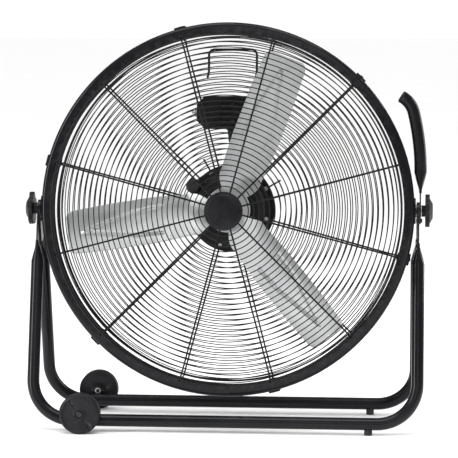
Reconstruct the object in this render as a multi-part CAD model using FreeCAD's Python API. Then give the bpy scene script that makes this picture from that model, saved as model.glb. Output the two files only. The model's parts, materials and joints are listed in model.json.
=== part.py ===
import FreeCAD, Part
import math
import os

# Large tilting floor fan: a wire-guarded drum held between two bent-tube U frames.
# Millimetres, +Z up, the fan blows towards -Y.  The origin is on the floor, under the
# middle of the stand.  The drum and all it carries are drawn about their own centre,
# with the fan axis along Y, and then turned up by the rest tilt and lifted to the pivot.

# ---- overall sizes ----
HOOP_RADIUS = 425.0
HOOP_WIDTH = 60.0
FLOOR_GAP = 67.0
STAND_DEPTH = 250.0
REST_TILT_DEG = 3.8
TUBE_DIAMETER = 28.0

# ---- clearances shared by every fit ----
RUNNING_GAP = 0.3
BORE_GAP = 0.1
FIT_GAP = 0.05
WELD_SINK = 0.4
OVERRUN = 1.0

# ---- sheet hoop ----
HOOP_SHEET = 1.5
HOOP_LIP_DEPTH = 23.0
HOOP_CORNER = 9.0

# ---- pivots, from the hoop outwards ----
PIVOT_BOLT = 10.0
PIVOT_PAD_THICK = 2.3
PIVOT_PAD_HEIGHT = 58.0
PIVOT_PAD_WIDTH = 44.0
BOLT_HEAD_DIAMETER = 24.0
BOLT_HEAD_THICK = 4.8
WASHER_THICK = 1.1
WASHER_DIAMETER = 30.0
CLAMP_WASHER_THICK = 1.6
CLAMP_WASHER_DIAMETER = 26.0

# ---- bent tube frames ----
TUBE_WALL = 1.5
RAIL_HEIGHT = 25.0
BEND_RADIUS = 90.0
FLAT_THICK = 3.2
FLAT_WIDTH = 40.0
FLAT_GAP = 0.2
FLAT_LENGTH = 76.0
TAPER_LENGTH = 46.0
NECK_SHARE = 0.6
RIVET_DIAMETER = 6.0
RIVET_DROP = 22.0
RIVET_HEAD_DIAMETER = 10.0
RIVET_INNER_HEAD = 0.8
RIVET_OUTER_HEAD = 3.0

# ---- lifting handle on the right ----
HANDLE_FLAT_LENGTH = 42.0
HANDLE_FLAT_DROP = 30.0
HANDLE_LEAN_RADIUS = 560.0
HANDLE_LEAN_DEG = 14.0
HANDLE_HOOK_RADIUS = 55.0
HANDLE_HOOK_DEG = 44.0
CAP_LENGTH = 6.0
CAP_PLUG_LENGTH = 14.0

# ---- wheels and feet ----
WHEEL_X = -320.0
WHEEL_RADIUS = 45.5
WHEEL_WIDTH = 28.0
WHEEL_CHAMFER = 2.5
WHEEL_SIDE_GAP = 1.0
WHEEL_RIM = 6.0
WHEEL_DISH = 2.2
WHEEL_GROOVE = 4.0
WHEEL_GROOVE_DEG = 125.0
HUB_RADIUS = 12.0
HUB_RECESS_RADIUS = 9.0
HUB_RECESS_DEPTH = 5.0
AXLE_DIAMETER = 8.0
AXLE_HEAD_DIAMETER = 16.0
AXLE_HEAD_THICK = 4.5
AXLE_NUT_FLATS = 13.0
AXLE_NUT_THICK = 6.0
AXLE_TAIL = 1.5
BRACKET_THICK = 4.0
BRACKET_BITE = 1.0
BRACKET_HALF_WIDTH = 17.0
BRACKET_DROP = 8.0
FOOT_X = 325.0
FOOT_DIAMETER = 18.0

# ---- clamping knobs ----
KNOB_RADIUS = 38.0
KNOB_RIM_THICK = 10.0
KNOB_CROWN = 7.0
KNOB_CROWN_RADIUS = 17.0
KNOB_BOSS_RADIUS = 13.0
KNOB_BOSS_LENGTH = 7.6
KNOB_LOBES = 5
KNOB_SCALLOP_RADIUS = 20.0
KNOB_SCALLOP_DEPTH = 7.0
KNOB_EDGE = 1.5
KNOB_CROWN_STEP = 2.0
INSERT_RADIUS = 8.5
INSERT_LENGTH = 13.0
BOLT_TAIL = 11.0

# ---- wire guards ----
SPOKE_DIAMETER = 4.0
SPOKE_COUNT = 12
SPOKE_START_DEG = 15.0
RING_DIAMETER = 2.4
RING_SIDES = 6
RING_PITCH = 12.0
FIRST_RING_RADIUS = 55.5
RIM_WIRE_DIAMETER = 5.0
RIM_WIRE_GAP = 0.5
GUARD_LIP_GAP = 0.5
GUARD_CORNER = 26.0
GUARD_WALL_DEPTH = 66.0
GUARD_DOME_DEG = 4.5
FRONT_SPOKE_RADIUS = 26.0
REAR_SPOKE_RADIUS = 93.0
MOUNT_BAR_OVERLAP = 2.5
MOUNT_BAR_REACH = 132.0
MOUNT_DEG = 30.0
MOUNT_COUNT = 4

# ---- badge in the middle of the front guard ----
BADGE_RADIUS = 43.5
BADGE_FACE_RADIUS = 35.5
BADGE_THICK = 5.0
BADGE_STEP = 1.2
BADGE_EDGE = 2.0
BADGE_PLATE_RADIUS = 40.0
BADGE_PLATE_THICK = 1.5
BADGE_PIN_RADIUS = 5.0

# ---- clips that hold the guards in the hoop ----
CLIP_COUNT = 6
CLIP_START_DEG = 45.0
CLIP_LENGTH = 26.0
CLIP_WIDTH = 40.0
CLIP_PROUD = 4.0
CLIP_CORNER = 1.6
HOOK_THICK = 2.0
HOOK_LENGTH = 18.0
HOOK_TAB = 7.0
CLIP_SCREW = 4.0
CLIP_SCREW_HEAD = 8.0
CLIP_SCREW_HEAD_THICK = 1.6
CLIP_SCREW_TAIL = 2.0

# ---- blade ----
BLADE_COUNT = 3
BLADE_START_DEG = 69.0
BLADE_TIP_GAP = 30.0
BLADE_THICK = 1.6
BLADE_PLANE = -4.0
BLADE_DISC_RADIUS = 52.0
BLADE_CAMBER = 0.07
# radius as a share of the tip radius, chord, pitch in degrees
BLADE_STATIONS = [(0.11, 58.0, 8.0), (0.23, 104.0, 27.0), (0.45, 118.0, 29.0),
                  (0.72, 114.0, 25.0), (1.0, 103.0, 20.0)]
HUB_FLANGE_RADIUS = 33.0
HUB_FLANGE_THICK = 4.0
HUB_FLANGE_ROOM = 1.0
HUB_BOSS_RADIUS = 17.0
HUB_BOSS_LENGTH = 26.0
HUB_RIVET_COUNT = 6
HUB_RIVET_CIRCLE = 25.0
HUB_RIVET_DIAMETER = 5.0
HUB_RIVET_HEAD = 8.5
HUB_RIVET_HEAD_THICK = 1.5
SETSCREW_DIAMETER = 6.0
SETSCREW_PROUD = 1.5

# ---- motor ----
SHAFT_DIAMETER = 16.0
SHAFT_FRONT = 12.0
SHAFT_CLEARANCE = 1.0
SHAFT_CHAMFER = 1.0
MOTOR_FRONT = 34.0
MOTOR_SPLIT = 72.0
MOTOR_RADIUS = 82.0
MOTOR_WALL = 3.0
MOTOR_FACE_WALL = 4.0
MOTOR_FLANGE_RADIUS = 92.0
MOTOR_FLANGE_THICK = 4.0
MOTOR_CORNER = 12.0
BEARING_RADIUS = 20.0
BEARING_WIDTH = 12.0
BEARING_SEAT_WALL = 4.0
EAR_RADIUS = 8.0
EAR_CIRCLE = 92.0
EAR_THICK = 5.0
MOUNT_SCREW = 6.0
STATOR_LENGTH = 36.0
ROTOR_RADIUS = 40.0
AIR_GAP = 0.6
WINDING_INNER = 48.0
WINDING_OUTER = 70.0
WINDING_LENGTH = 10.0
MOTOR_BOLT = 5.0
MOTOR_BOLT_CIRCLE = 87.0
MOTOR_BOLT_DEG = 75.0
CAPACITOR_RADIUS = 15.5
CAPACITOR_FRONT = 32.0
CAPACITOR_BACK = 66.0
CAPACITOR_GAP = 1.0
CAPACITOR_DEG = 148.0
CAPACITOR_EDGE = 2.0
CLIP_BAND_THICK = 1.4
CLIP_BAND_FRONT = 48.0
CLIP_BAND_BACK = 60.0
CLIP_BAND_WING = 24.0
MOUNT_RING_OUTER = 102.0
MOUNT_RING_INNER = 62.0
MOUNT_RING_THICK = 2.0
NUT_THICK = 5.0
NUT_FLATS = 10.0
SMALL_FLATS = 8.0
HEAD_THICK = 4.0
SCREW_TAIL = 1.5

# ---- control box behind the rear guard ----
BOX_WIDTH = 166.0
BOX_HEIGHT = 77.0
BOX_DEPTH = 58.0
BOX_RISE = 223.0
BOX_CHAMFER = 19.0
BOX_WALL = 2.5
BOX_STANDOFF = 12.7
LID_THICK = 2.5
LID_SCREW = 4.0
LID_SCREW_INSET = 14.0
LID_SCREW_RISE = 19.0
LID_SCREW_LENGTH = 14.5
LID_SCREW_HEAD_THICK = 2.0
LID_POST_RADIUS = 5.0
STRAP_HALF_WIDTH = 30.0
STRAP_HEIGHT = 64.0
STRAP_THICK = 2.0
STRAP_BOLT = 5.0
STRAP_BOLT_RISE = 20.0
STRAP_HEAD_THICK = 2.5
SWITCH_SIZE = 26.0
SWITCH_STEM = 6.0
DIAL_RADIUS = 13.0
DIAL_TOP_RADIUS = 10.4
DIAL_LENGTH = 13.0
DIAL_SKIRT = 6.0
DIAL_GRIP_WIDTH = 5.0
GLAND_RADIUS = 8.0
GLAND_TIP_RADIUS = 5.2
GLAND_LENGTH = 30.0
GLAND_FLANGE_RADIUS = 10.0
GLAND_FLANGE_THICK = 3.0
MOTOR_GLAND_X = -5.0
MAINS_GLAND_X = 46.0
MOTOR_GLAND_LENGTH = 12.0
MOTOR_GLAND_SINK = 3.0

# ---- lead from the control box to the motor, about the drum centre ----
LEAD_DIAMETER = 7.0
LEAD_POINTS = [(-5.0, 141.0, 154.5), (-3.0, 147.0, 127.0), (-4.0, 149.0, 100.0),
               (-5.0, 143.0, 74.0), (-5.0, 128.0, 53.0), (-5.0, 112.5, 47.8)]
LEAD_ARC_SHARE = 0.45
LEAD_END_ROOM = 30.0

# ---- wire grab handle on the back of the rear guard ----
GRAB_DIAMETER = 5.5
GRAB_HALF_WIDTH = 56.0
GRAB_LOW = 305.0
GRAB_HIGH = 370.0
GRAB_STANDOFF = 34.0
GRAB_BEND = 13.0
GRAB_SPLAY = 12.0

# ---- worked out from the sizes above ----
PIVOT_HEIGHT = HOOP_RADIUS + FLOOR_GAP
PAD_FACE = HOOP_RADIUS + PIVOT_PAD_THICK
WASHER_FACE = PAD_FACE + RUNNING_GAP
REAR_FLAT_X = WASHER_FACE + WASHER_THICK + RUNNING_GAP + FLAT_THICK / 2
FRONT_FLAT_X = REAR_FLAT_X + FLAT_THICK + FLAT_GAP
HANDLE_FLAT_X = FRONT_FLAT_X + FLAT_THICK + FLAT_GAP
LEFT_CLAMP_X = FRONT_FLAT_X + FLAT_THICK / 2 + FLAT_GAP
RIGHT_CLAMP_X = HANDLE_FLAT_X + FLAT_THICK / 2 + FLAT_GAP
TUBE_RADIUS = TUBE_DIAMETER / 2
RAIL_Y = STAND_DEPTH / 2
LEAN_RUN = math.hypot(RAIL_Y, PIVOT_HEIGHT - RAIL_HEIGHT)
LEAN_DEG = math.degrees(math.atan2(RAIL_Y, PIVOT_HEIGHT - RAIL_HEIGHT))
HOOP_LIP_RADIUS = HOOP_RADIUS - HOOP_LIP_DEPTH
HALF_HOOP = HOOP_WIDTH / 2
GUARD_WALL_RADIUS = HOOP_LIP_RADIUS - GUARD_LIP_GAP - SPOKE_DIAMETER / 2
RIM_WIRE_RADIUS = GUARD_WALL_RADIUS + (SPOKE_DIAMETER + RIM_WIRE_DIAMETER) / 2 - WELD_SINK
RIM_WIRE_Y = HALF_HOOP - HOOP_SHEET - RIM_WIRE_GAP - RIM_WIRE_DIAMETER / 2
BLADE_TIP_RADIUS = HOOP_LIP_RADIUS - BLADE_TIP_GAP
BLADE_BACK = BLADE_PLANE + BLADE_THICK / 2
X_AXIS = FreeCAD.Vector(1, 0, 0)
Y_AXIS = FreeCAD.Vector(0, 1, 0)
Z_AXIS = FreeCAD.Vector(0, 0, 1)
ORIGIN = FreeCAD.Vector(0, 0, 0)


def point(x, y, z):
    return FreeCAD.Vector(x, y, z)


def rod(start, end, radius):
    run = end.sub(start)
    return Part.makeCylinder(radius, run.Length, start, run)


def rod_x(x0, x1, y, z, radius):
    return rod(point(x0, y, z), point(x1, y, z), radius)


def rod_y(y0, y1, radius, x=0.0, z=0.0):
    return rod(point(x, y0, z), point(x, y1, z), radius)


def block(x0, x1, y0, y1, z0, z1):
    return Part.makeBox(x1 - x0, y1 - y0, z1 - z0, point(x0, y0, z0))


def turned(shape, axis, angle):
    copy = shape.copy()
    copy.rotate(ORIGIN, axis, angle)
    return copy


def moved(shape, x=0.0, y=0.0, z=0.0):
    copy = shape.copy()
    copy.translate(point(x, y, z))
    return copy


def flipped(shape, normal):
    return shape.mirror(ORIGIN, normal)


def outline(points):
    return Part.makePolygon([point(*p) for p in points + points[:1]])


def spun(points):
    """Solid of revolution about Y of a closed outline of (radius, y) points."""
    face = Part.Face(outline([(r, y, 0.0) for r, y in points]))
    return face.revolve(ORIGIN, Y_AXIS, 360.0)


def hexagon(flats, y0, y1):
    corner = flats / math.sqrt(3)
    ring = [(corner * math.cos(math.radians(60 * k)), y0, corner * math.sin(math.radians(60 * k)))
            for k in range(6)]
    return Part.Face(outline(ring)).extrude(point(0, y1 - y0, 0))


def around_fan_axis(shape, count, start_deg):
    """Copies of a shape drawn on +X, spaced round the fan axis from start_deg upwards."""
    return [turned(shape, Y_AXIS, -(start_deg + 360.0 * k / count)) for k in range(count)]


def fused(shapes):
    return shapes[0].fuse(shapes[1:]).removeSplitter()


def group(shapes):
    return Part.makeCompound(shapes)


def on_drum(shape):
    """Put a shape drawn about the drum's centre in its place at the rest tilt."""
    placed = turned(shape, X_AXIS, -REST_TILT_DEG)
    return moved(placed, z=PIVOT_HEIGHT)


def at_pivot(shape, lean_deg=0.0):
    return moved(turned(shape, X_AXIS, lean_deg), z=PIVOT_HEIGHT)


def save(name, shape):
    shape.exportStep("parts/" + name + ".step")
    print(name, "solids", len(shape.Solids), "volume", round(shape.Volume), "valid", shape.isValid())


# ---- bent tube frames and the lifting handle ----

def oval(half_thick, half_width, z):
    """Four-arc closed section in a level plane, thick along X and wide along Y."""
    slack = math.sqrt(0.5)
    corners = [(half_thick * slack, half_width * slack), (-half_thick * slack, half_width * slack),
               (-half_thick * slack, -half_width * slack), (half_thick * slack, -half_width * slack)]
    crests = [(0.0, half_width), (-half_thick, 0.0), (0.0, -half_width), (half_thick, 0.0)]
    edges = []
    for k in range(4):
        start = point(corners[k][0], corners[k][1], z)
        middle = point(crests[k][0], crests[k][1], z)
        end = point(corners[(k + 1) % 4][0], corners[(k + 1) % 4][1], z)
        edges.append(Part.Arc(start, middle, end).toShape())
    return Part.Wire(edges)


def crushed_end(flat_length):
    """Hollow tube end pressed flat: round at the bottom, flat tongue at the top."""
    flat_top = -flat_length
    round_top = flat_top - TAPER_LENGTH
    middle = (flat_top + round_top) / 2
    inner = TUBE_RADIUS - TUBE_WALL
    outside = Part.makeLoft([oval(FLAT_THICK / 2, FLAT_WIDTH / 2, flat_top),
                             oval(TUBE_RADIUS * NECK_SHARE, (FLAT_WIDTH / 2 + TUBE_RADIUS) / 2, middle),
                             oval(TUBE_RADIUS, TUBE_RADIUS, round_top)], True, False)
    inside = Part.makeLoft([oval(TUBE_RADIUS * NECK_SHARE - TUBE_WALL,
                                 (FLAT_WIDTH / 2 + inner) / 2 - TUBE_WALL, middle),
                            oval(inner, inner, round_top)], True, False)
    return outside.cut(inside)


def flat_tongue(length, drop):
    """Flat tongue about the pivot, with rounded ends of its own width."""
    half = FLAT_WIDTH / 2
    thick = FLAT_THICK / 2
    tongue = block(-thick, thick, -half, half, -length, drop - half)
    return tongue.fuse(rod_x(-thick, thick, 0.0, drop - half, half))


def bolt_and_rivet_holes(x):
    holes = rod_x(x - FLAT_THICK, x + FLAT_THICK, 0.0, 0.0, PIVOT_BOLT / 2 + BORE_GAP)
    rivet = rod_x(x - FLAT_THICK, x + FLAT_THICK, 0.0, -RIVET_DROP, RIVET_DIAMETER / 2 + FIT_GAP)
    return holes, rivet


def u_path(half_width):
    top = -(FLAT_LENGTH + TAPER_LENGTH)
    knee = -(LEAN_RUN - BEND_RADIUS)
    inset = half_width - BEND_RADIUS
    reach = BEND_RADIUS * math.sqrt(0.5)
    right = [Part.LineSegment(point(half_width, 0, top), point(half_width, 0, knee)),
             Part.Arc(point(half_width, 0, knee), point(inset + reach, 0, knee - reach),
                      point(inset, 0, -LEAN_RUN))]
    left = [Part.Arc(point(-inset, 0, -LEAN_RUN), point(-inset - reach, 0, knee - reach),
                     point(-half_width, 0, knee)),
            Part.LineSegment(point(-half_width, 0, knee), point(-half_width, 0, top))]
    rail = Part.LineSegment(point(inset, 0, -LEAN_RUN), point(-inset, 0, -LEAN_RUN))
    return Part.Wire([curve.toShape() for curve in right + [rail] + left])


def tube_along(path, start, direction):
    outer = Part.Face(Part.Wire(Part.makeCircle(TUBE_RADIUS, start, direction)))
    inner = Part.Face(Part.Wire(Part.makeCircle(TUBE_RADIUS - TUBE_WALL, start, direction)))
    return path.makePipe(outer).cut(path.makePipe(inner))


def u_frame(side, half_width):
    """U of bent tube, drawn upright about the pivot and then leaned to its own rail."""
    start = point(half_width, 0, -(FLAT_LENGTH + TAPER_LENGTH))
    tube = tube_along(u_path(half_width), start, Z_AXIS)
    end = crushed_end(FLAT_LENGTH).fuse(flat_tongue(FLAT_LENGTH, FLAT_WIDTH / 2))
    frame = tube.fuse([moved(end, x=half_width), moved(end, x=-half_width)])
    for x in (half_width, -half_width):
        bolt_hole, rivet_hole = bolt_and_rivet_holes(x)
        frame = frame.cut(bolt_hole)
        # the rivets stand straight under the pivot, so their hole is turned back by the lean
        frame = frame.cut(turned(rivet_hole, X_AXIS, -side * LEAN_DEG))
    return at_pivot(frame, side * LEAN_DEG)


def handle_path():
    start = point(HANDLE_FLAT_X, 0, HANDLE_FLAT_LENGTH + TAPER_LENGTH)
    lean = math.radians(HANDLE_LEAN_DEG)
    turn = math.radians(HANDLE_LEAN_DEG + HANDLE_HOOK_DEG)

    def lean_point(angle):
        return start + point(HANDLE_LEAN_RADIUS * (math.cos(angle) - 1), 0,
                             HANDLE_LEAN_RADIUS * math.sin(angle))

    hook_start = lean_point(lean)

    def hook_point(angle):
        return hook_start + point(HANDLE_HOOK_RADIUS * (math.cos(angle) - math.cos(lean)), 0,
                                  HANDLE_HOOK_RADIUS * (math.sin(angle) - math.sin(lean)))

    arcs = [Part.Arc(start, lean_point(lean / 2), hook_start),
            Part.Arc(hook_start, hook_point((lean + turn) / 2), hook_point(turn))]
    heading = point(-math.sin(turn), 0, math.cos(turn))
    return Part.Wire([arc.toShape() for arc in arcs]), start, hook_point(turn), heading


def lift_handle():
    path, start, end, heading = handle_path()
    tube = tube_along(path, start, Z_AXIS)
    tip = flipped(crushed_end(HANDLE_FLAT_LENGTH), Z_AXIS)
    tongue = flipped(flat_tongue(HANDLE_FLAT_LENGTH, HANDLE_FLAT_DROP), Z_AXIS)
    handle = tube.fuse(moved(tip.fuse(tongue), x=HANDLE_FLAT_X))
    for hole in bolt_and_rivet_holes(HANDLE_FLAT_X):
        handle = handle.cut(hole)
    return at_pivot(handle)


def handle_cap():
    path, start, end, heading = handle_path()
    plug = rod(end - heading * CAP_PLUG_LENGTH, end, TUBE_RADIUS - TUBE_WALL - FIT_GAP)
    plug = plug.common(path.makePipe(Part.Face(Part.Wire(
        Part.makeCircle(TUBE_RADIUS - TUBE_WALL - FIT_GAP, start, Z_AXIS)))))
    head = rod(end, end + heading * CAP_LENGTH, TUBE_RADIUS)
    far_edges = [e for e in head.Edges if len(e.Vertexes) == 1
                 and abs((e.CenterOfMass - end).dot(heading) - CAP_LENGTH) < 0.01]
    head = head.makeFillet(CAP_LENGTH * 0.75, far_edges)
    return at_pivot(head.fuse(plug))


def frame_rivets():
    rivets = []
    for side, outer_x in ((1, RIGHT_CLAMP_X), (-1, LEFT_CLAMP_X)):
        inner_x = REAR_FLAT_X - FLAT_THICK / 2
        shank = rod_x(inner_x, outer_x, 0, -RIVET_DROP, RIVET_DIAMETER / 2)
        flush = rod_x(inner_x - RIVET_INNER_HEAD, inner_x, 0, -RIVET_DROP, RIVET_HEAD_DIAMETER / 2)
        dome = rod_x(outer_x - FLAT_GAP, outer_x + RIVET_OUTER_HEAD, 0, -RIVET_DROP,
                     RIVET_HEAD_DIAMETER / 2)
        dome = dome.makeFillet(RIVET_OUTER_HEAD * 0.6, [e for e in dome.Edges if len(e.Vertexes) == 1
                               and e.CenterOfMass.x > outer_x + RIVET_OUTER_HEAD - 0.01])
        rivet = fused([shank, flush, dome])
        rivets.append(rivet if side > 0 else flipped(rivet, X_AXIS))
    return at_pivot(group(rivets))


def ring_washer(x0, x1, diameter):
    disc = rod_x(x0, x1, 0, 0, diameter / 2)
    return disc.cut(rod_x(x0 - OVERRUN, x1 + OVERRUN, 0, 0, PIVOT_BOLT / 2 + BORE_GAP))


def friction_washers():
    right = ring_washer(WASHER_FACE, WASHER_FACE + WASHER_THICK, WASHER_DIAMETER)
    return at_pivot(group([right, flipped(right, X_AXIS)]))


def clamp_washers():
    right = ring_washer(RIGHT_CLAMP_X, RIGHT_CLAMP_X + CLAMP_WASHER_THICK, CLAMP_WASHER_DIAMETER)
    left = ring_washer(LEFT_CLAMP_X, LEFT_CLAMP_X + CLAMP_WASHER_THICK, CLAMP_WASHER_DIAMETER)
    return at_pivot(group([right, flipped(left, X_AXIS)]))


# ---- wheels and feet: drawn for the front, mirrored for the rear ----

def rail_cutter():
    return rod_x(-HOOP_RADIUS, HOOP_RADIUS, -RAIL_Y, RAIL_HEIGHT, TUBE_RADIUS)


def both_sides(shape):
    return group([shape, flipped(shape, Y_AXIS)])


def bracket_face():
    return -(RAIL_Y + TUBE_RADIUS - BRACKET_BITE + BRACKET_THICK)


def wheel_face():
    return bracket_face() - WHEEL_SIDE_GAP


def wheel_bracket():
    face = bracket_face()
    plate = block(WHEEL_X - BRACKET_HALF_WIDTH, WHEEL_X + BRACKET_HALF_WIDTH, face,
                  face + BRACKET_THICK, RAIL_HEIGHT - BRACKET_DROP, WHEEL_RADIUS)
    top = rod_y(face, face + BRACKET_THICK, BRACKET_HALF_WIDTH, WHEEL_X, WHEEL_RADIUS)
    hole = rod_y(face - OVERRUN, face + BRACKET_THICK + OVERRUN, AXLE_DIAMETER / 2 + BORE_GAP, WHEEL_X,
                 WHEEL_RADIUS)
    return plate.fuse(top).removeSplitter().cut(rail_cutter()).cut(hole)


def wheel_axle():
    inner = bracket_face() + BRACKET_THICK + AXLE_NUT_THICK + AXLE_TAIL
    seat = wheel_face() - WHEEL_WIDTH + HUB_RECESS_DEPTH - RUNNING_GAP
    shaft = rod_y(seat, inner, AXLE_DIAMETER / 2, WHEEL_X, WHEEL_RADIUS)
    head = rod_y(seat - AXLE_HEAD_THICK, seat, AXLE_HEAD_DIAMETER / 2, WHEEL_X, WHEEL_RADIUS)
    front_edge = [e for e in head.Edges if len(e.Vertexes) == 1
                  and e.CenterOfMass.y < seat - AXLE_HEAD_THICK + 0.01]
    return head.makeFillet(AXLE_HEAD_THICK * 0.5, front_edge).fuse(shaft).removeSplitter()


def axle_nut():
    start = bracket_face() + BRACKET_THICK
    nut = hexagon(AXLE_NUT_FLATS, start, start + AXLE_NUT_THICK)
    nut = nut.cut(rod_y(start - OVERRUN, start + AXLE_NUT_THICK + OVERRUN, AXLE_DIAMETER / 2 + FIT_GAP))
    return moved(nut, x=WHEEL_X, z=WHEEL_RADIUS)


def wheel():
    """Moulded wheel: rim, dished face crossed by two grooves, raised hub round the axle head."""
    inner = wheel_face()
    outer = inner - WHEEL_WIDTH
    dish = outer + WHEEL_DISH
    rim = WHEEL_RADIUS - WHEEL_RIM
    body = spun([(AXLE_DIAMETER / 2 + BORE_GAP, inner),
                 (WHEEL_RADIUS - WHEEL_CHAMFER, inner),
                 (WHEEL_RADIUS, inner - WHEEL_CHAMFER),
                 (WHEEL_RADIUS, outer + WHEEL_CHAMFER),
                 (WHEEL_RADIUS - WHEEL_CHAMFER, outer),
                 (rim, outer),
                 (rim - WHEEL_DISH, dish),
                 (HUB_RADIUS + WHEEL_DISH, dish),
                 (HUB_RADIUS, outer),
                 (HUB_RECESS_RADIUS, outer),
                 (HUB_RECESS_RADIUS, outer + HUB_RECESS_DEPTH),
                 (AXLE_DIAMETER / 2 + BORE_GAP, outer + HUB_RECESS_DEPTH)])
    half = WHEEL_GROOVE / 2
    for turn in (0.0, 180.0):
        groove = block(HUB_RADIUS + WHEEL_DISH, rim - WHEEL_DISH, dish - OVERRUN, dish + WHEEL_DISH,
                       -half, half)
        body = body.cut(turned(groove, Y_AXIS, -(WHEEL_GROOVE_DEG + turn)))
    return moved(body, x=WHEEL_X, z=WHEEL_RADIUS)


def foot():
    post = rod(point(FOOT_X, -RAIL_Y, 0), point(FOOT_X, -RAIL_Y, RAIL_HEIGHT), FOOT_DIAMETER / 2)
    return post.cut(rail_cutter())


# ---- clamping knobs, drawn on +X ----

def knob_blank(start):
    boss = rod_x(start, start + KNOB_BOSS_LENGTH, 0, 0, KNOB_BOSS_RADIUS)
    rim_start = start + KNOB_BOSS_LENGTH
    disc = rod_x(rim_start, rim_start + KNOB_RIM_THICK, 0, 0, KNOB_RADIUS)
    reach = KNOB_RADIUS + KNOB_SCALLOP_RADIUS - KNOB_SCALLOP_DEPTH
    for k in range(KNOB_LOBES):
        angle = 2 * math.pi * (k + 0.5) / KNOB_LOBES
        disc = disc.cut(rod_x(rim_start - OVERRUN, rim_start + KNOB_RIM_THICK + OVERRUN,
                              reach * math.sin(angle), reach * math.cos(angle), KNOB_SCALLOP_RADIUS))
    disc = disc.makeFillet(KNOB_EDGE, [e for e in disc.Edges if abs(e.BoundBox.XLength) < 0.01])
    crown = Part.makeCone(KNOB_RADIUS - KNOB_SCALLOP_DEPTH - KNOB_CROWN_STEP, KNOB_CROWN_RADIUS, KNOB_CROWN,
                          point(rim_start + KNOB_RIM_THICK, 0, 0), X_AXIS)
    return fused([boss, disc, crown])


def tilt_knob(start):
    pocket = rod_x(start - OVERRUN, start + INSERT_LENGTH, 0, 0, INSERT_RADIUS)
    relief = rod_x(start, start + KNOB_BOSS_LENGTH + BOLT_TAIL + OVERRUN, 0, 0, PIVOT_BOLT / 2 + BORE_GAP)
    return knob_blank(start).cut(pocket).cut(relief)


def knob_insert(start):
    body = rod_x(start, start + INSERT_LENGTH, 0, 0, INSERT_RADIUS)
    return body.cut(rod_x(start - OVERRUN, start + INSERT_LENGTH + OVERRUN, 0, 0, PIVOT_BOLT / 2 + FIT_GAP))


def knob_start(clamp_x):
    return clamp_x + CLAMP_WASHER_THICK + RUNNING_GAP


def pivot_bolt(clamp_x):
    seat = HOOP_RADIUS - HOOP_SHEET - BOLT_HEAD_DIAMETER ** 2 / 8 / HOOP_RADIUS - FIT_GAP
    tail = knob_start(clamp_x) + KNOB_BOSS_LENGTH + BOLT_TAIL
    head = rod_x(seat - BOLT_HEAD_THICK, seat, 0, 0, BOLT_HEAD_DIAMETER / 2)
    head = head.makeFillet(BOLT_HEAD_THICK * 0.6, [e for e in head.Edges if len(e.Vertexes) == 1
                           and e.CenterOfMass.x < seat - BOLT_HEAD_THICK + 0.01])
    return head.fuse(rod_x(seat, tail, 0, 0, PIVOT_BOLT / 2)).removeSplitter()


# ---- hoop and pivot pads ----

def pivot_hole(extra=BORE_GAP):
    reach = HOOP_RADIUS + PIVOT_PAD_THICK + OVERRUN
    return rod_x(-reach, reach, 0, 0, PIVOT_BOLT / 2 + extra)


def hoop():
    """Rolled channel: cylindrical wall with both edges turned inwards as flat lips."""
    outer = HOOP_RADIUS
    wall = outer - HOOP_SHEET
    lip = HOOP_LIP_RADIUS
    corner = outer - HOOP_CORNER
    inner_corner = HOOP_CORNER - HOOP_SHEET
    slack = math.sqrt(0.5)
    edge = HALF_HOOP
    flat = HALF_HOOP - HOOP_CORNER
    skin = HALF_HOOP - HOOP_SHEET

    def line(r0, y0, r1, y1):
        return Part.LineSegment(point(r0, y0, 0), point(r1, y1, 0)).toShape()

    def arc(radius, side, start_low):
        middle = point(corner + radius * slack, side * (flat + radius * slack), 0)
        low = point(corner, side * (flat + radius), 0)
        high = point(corner + radius, side * flat, 0)
        ends = (low, high) if start_low else (high, low)
        return Part.Arc(ends[0], middle, ends[1]).toShape()

    edges = [line(lip, -edge, corner, -edge), arc(HOOP_CORNER, -1, True),
             line(outer, -flat, outer, flat), arc(HOOP_CORNER, 1, False),
             line(corner, edge, lip, edge), line(lip, edge, lip, skin),
             line(lip, skin, corner, skin), arc(inner_corner, 1, True),
             line(wall, flat, wall, -flat), arc(inner_corner, -1, False),
             line(corner, -skin, lip, -skin), line(lip, -skin, lip, -edge)]
    section = Part.Face(Part.Wire(edges))
    shell = section.revolve(ORIGIN, Y_AXIS, 360.0)
    shell = shell.cut(pivot_hole())
    for hole in around_fan_axis(rod_x(wall - OVERRUN, outer + OVERRUN, 0, 0, CLIP_SCREW / 2 + FIT_GAP),
                                CLIP_COUNT, CLIP_START_DEG):
        shell = shell.cut(hole)
    return shell


def pivot_pads():
    half_width = PIVOT_PAD_WIDTH / 2
    half_height = PIVOT_PAD_HEIGHT / 2
    pad = block(HOOP_RADIUS - PIVOT_PAD_THICK, PAD_FACE, -half_width, half_width,
                -half_height, half_height)
    pad = pad.makeFillet(half_width * 0.6, [e for e in pad.Edges if abs(e.BoundBox.XLength) > 1.0])
    pad = pad.cut(rod_y(-half_width - OVERRUN, half_width + OVERRUN, HOOP_RADIUS)).cut(pivot_hole())
    return group([pad, flipped(pad, X_AXIS)])


# ---- wire guards, drawn for the front; the rear one is the same, mirrored ----

def dome_start():
    lean = math.radians(GUARD_DOME_DEG)
    return (GUARD_WALL_RADIUS - GUARD_CORNER * (1 - math.sin(lean)),
            -(GUARD_WALL_DEPTH + GUARD_CORNER * math.cos(lean)))


def dome_depth(radius):
    """Distance of the spoke centre line from the drum's middle plane, on the dome."""
    start_radius, start_y = dome_start()
    return -start_y + (start_radius - radius) * math.tan(math.radians(GUARD_DOME_DEG))


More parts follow.
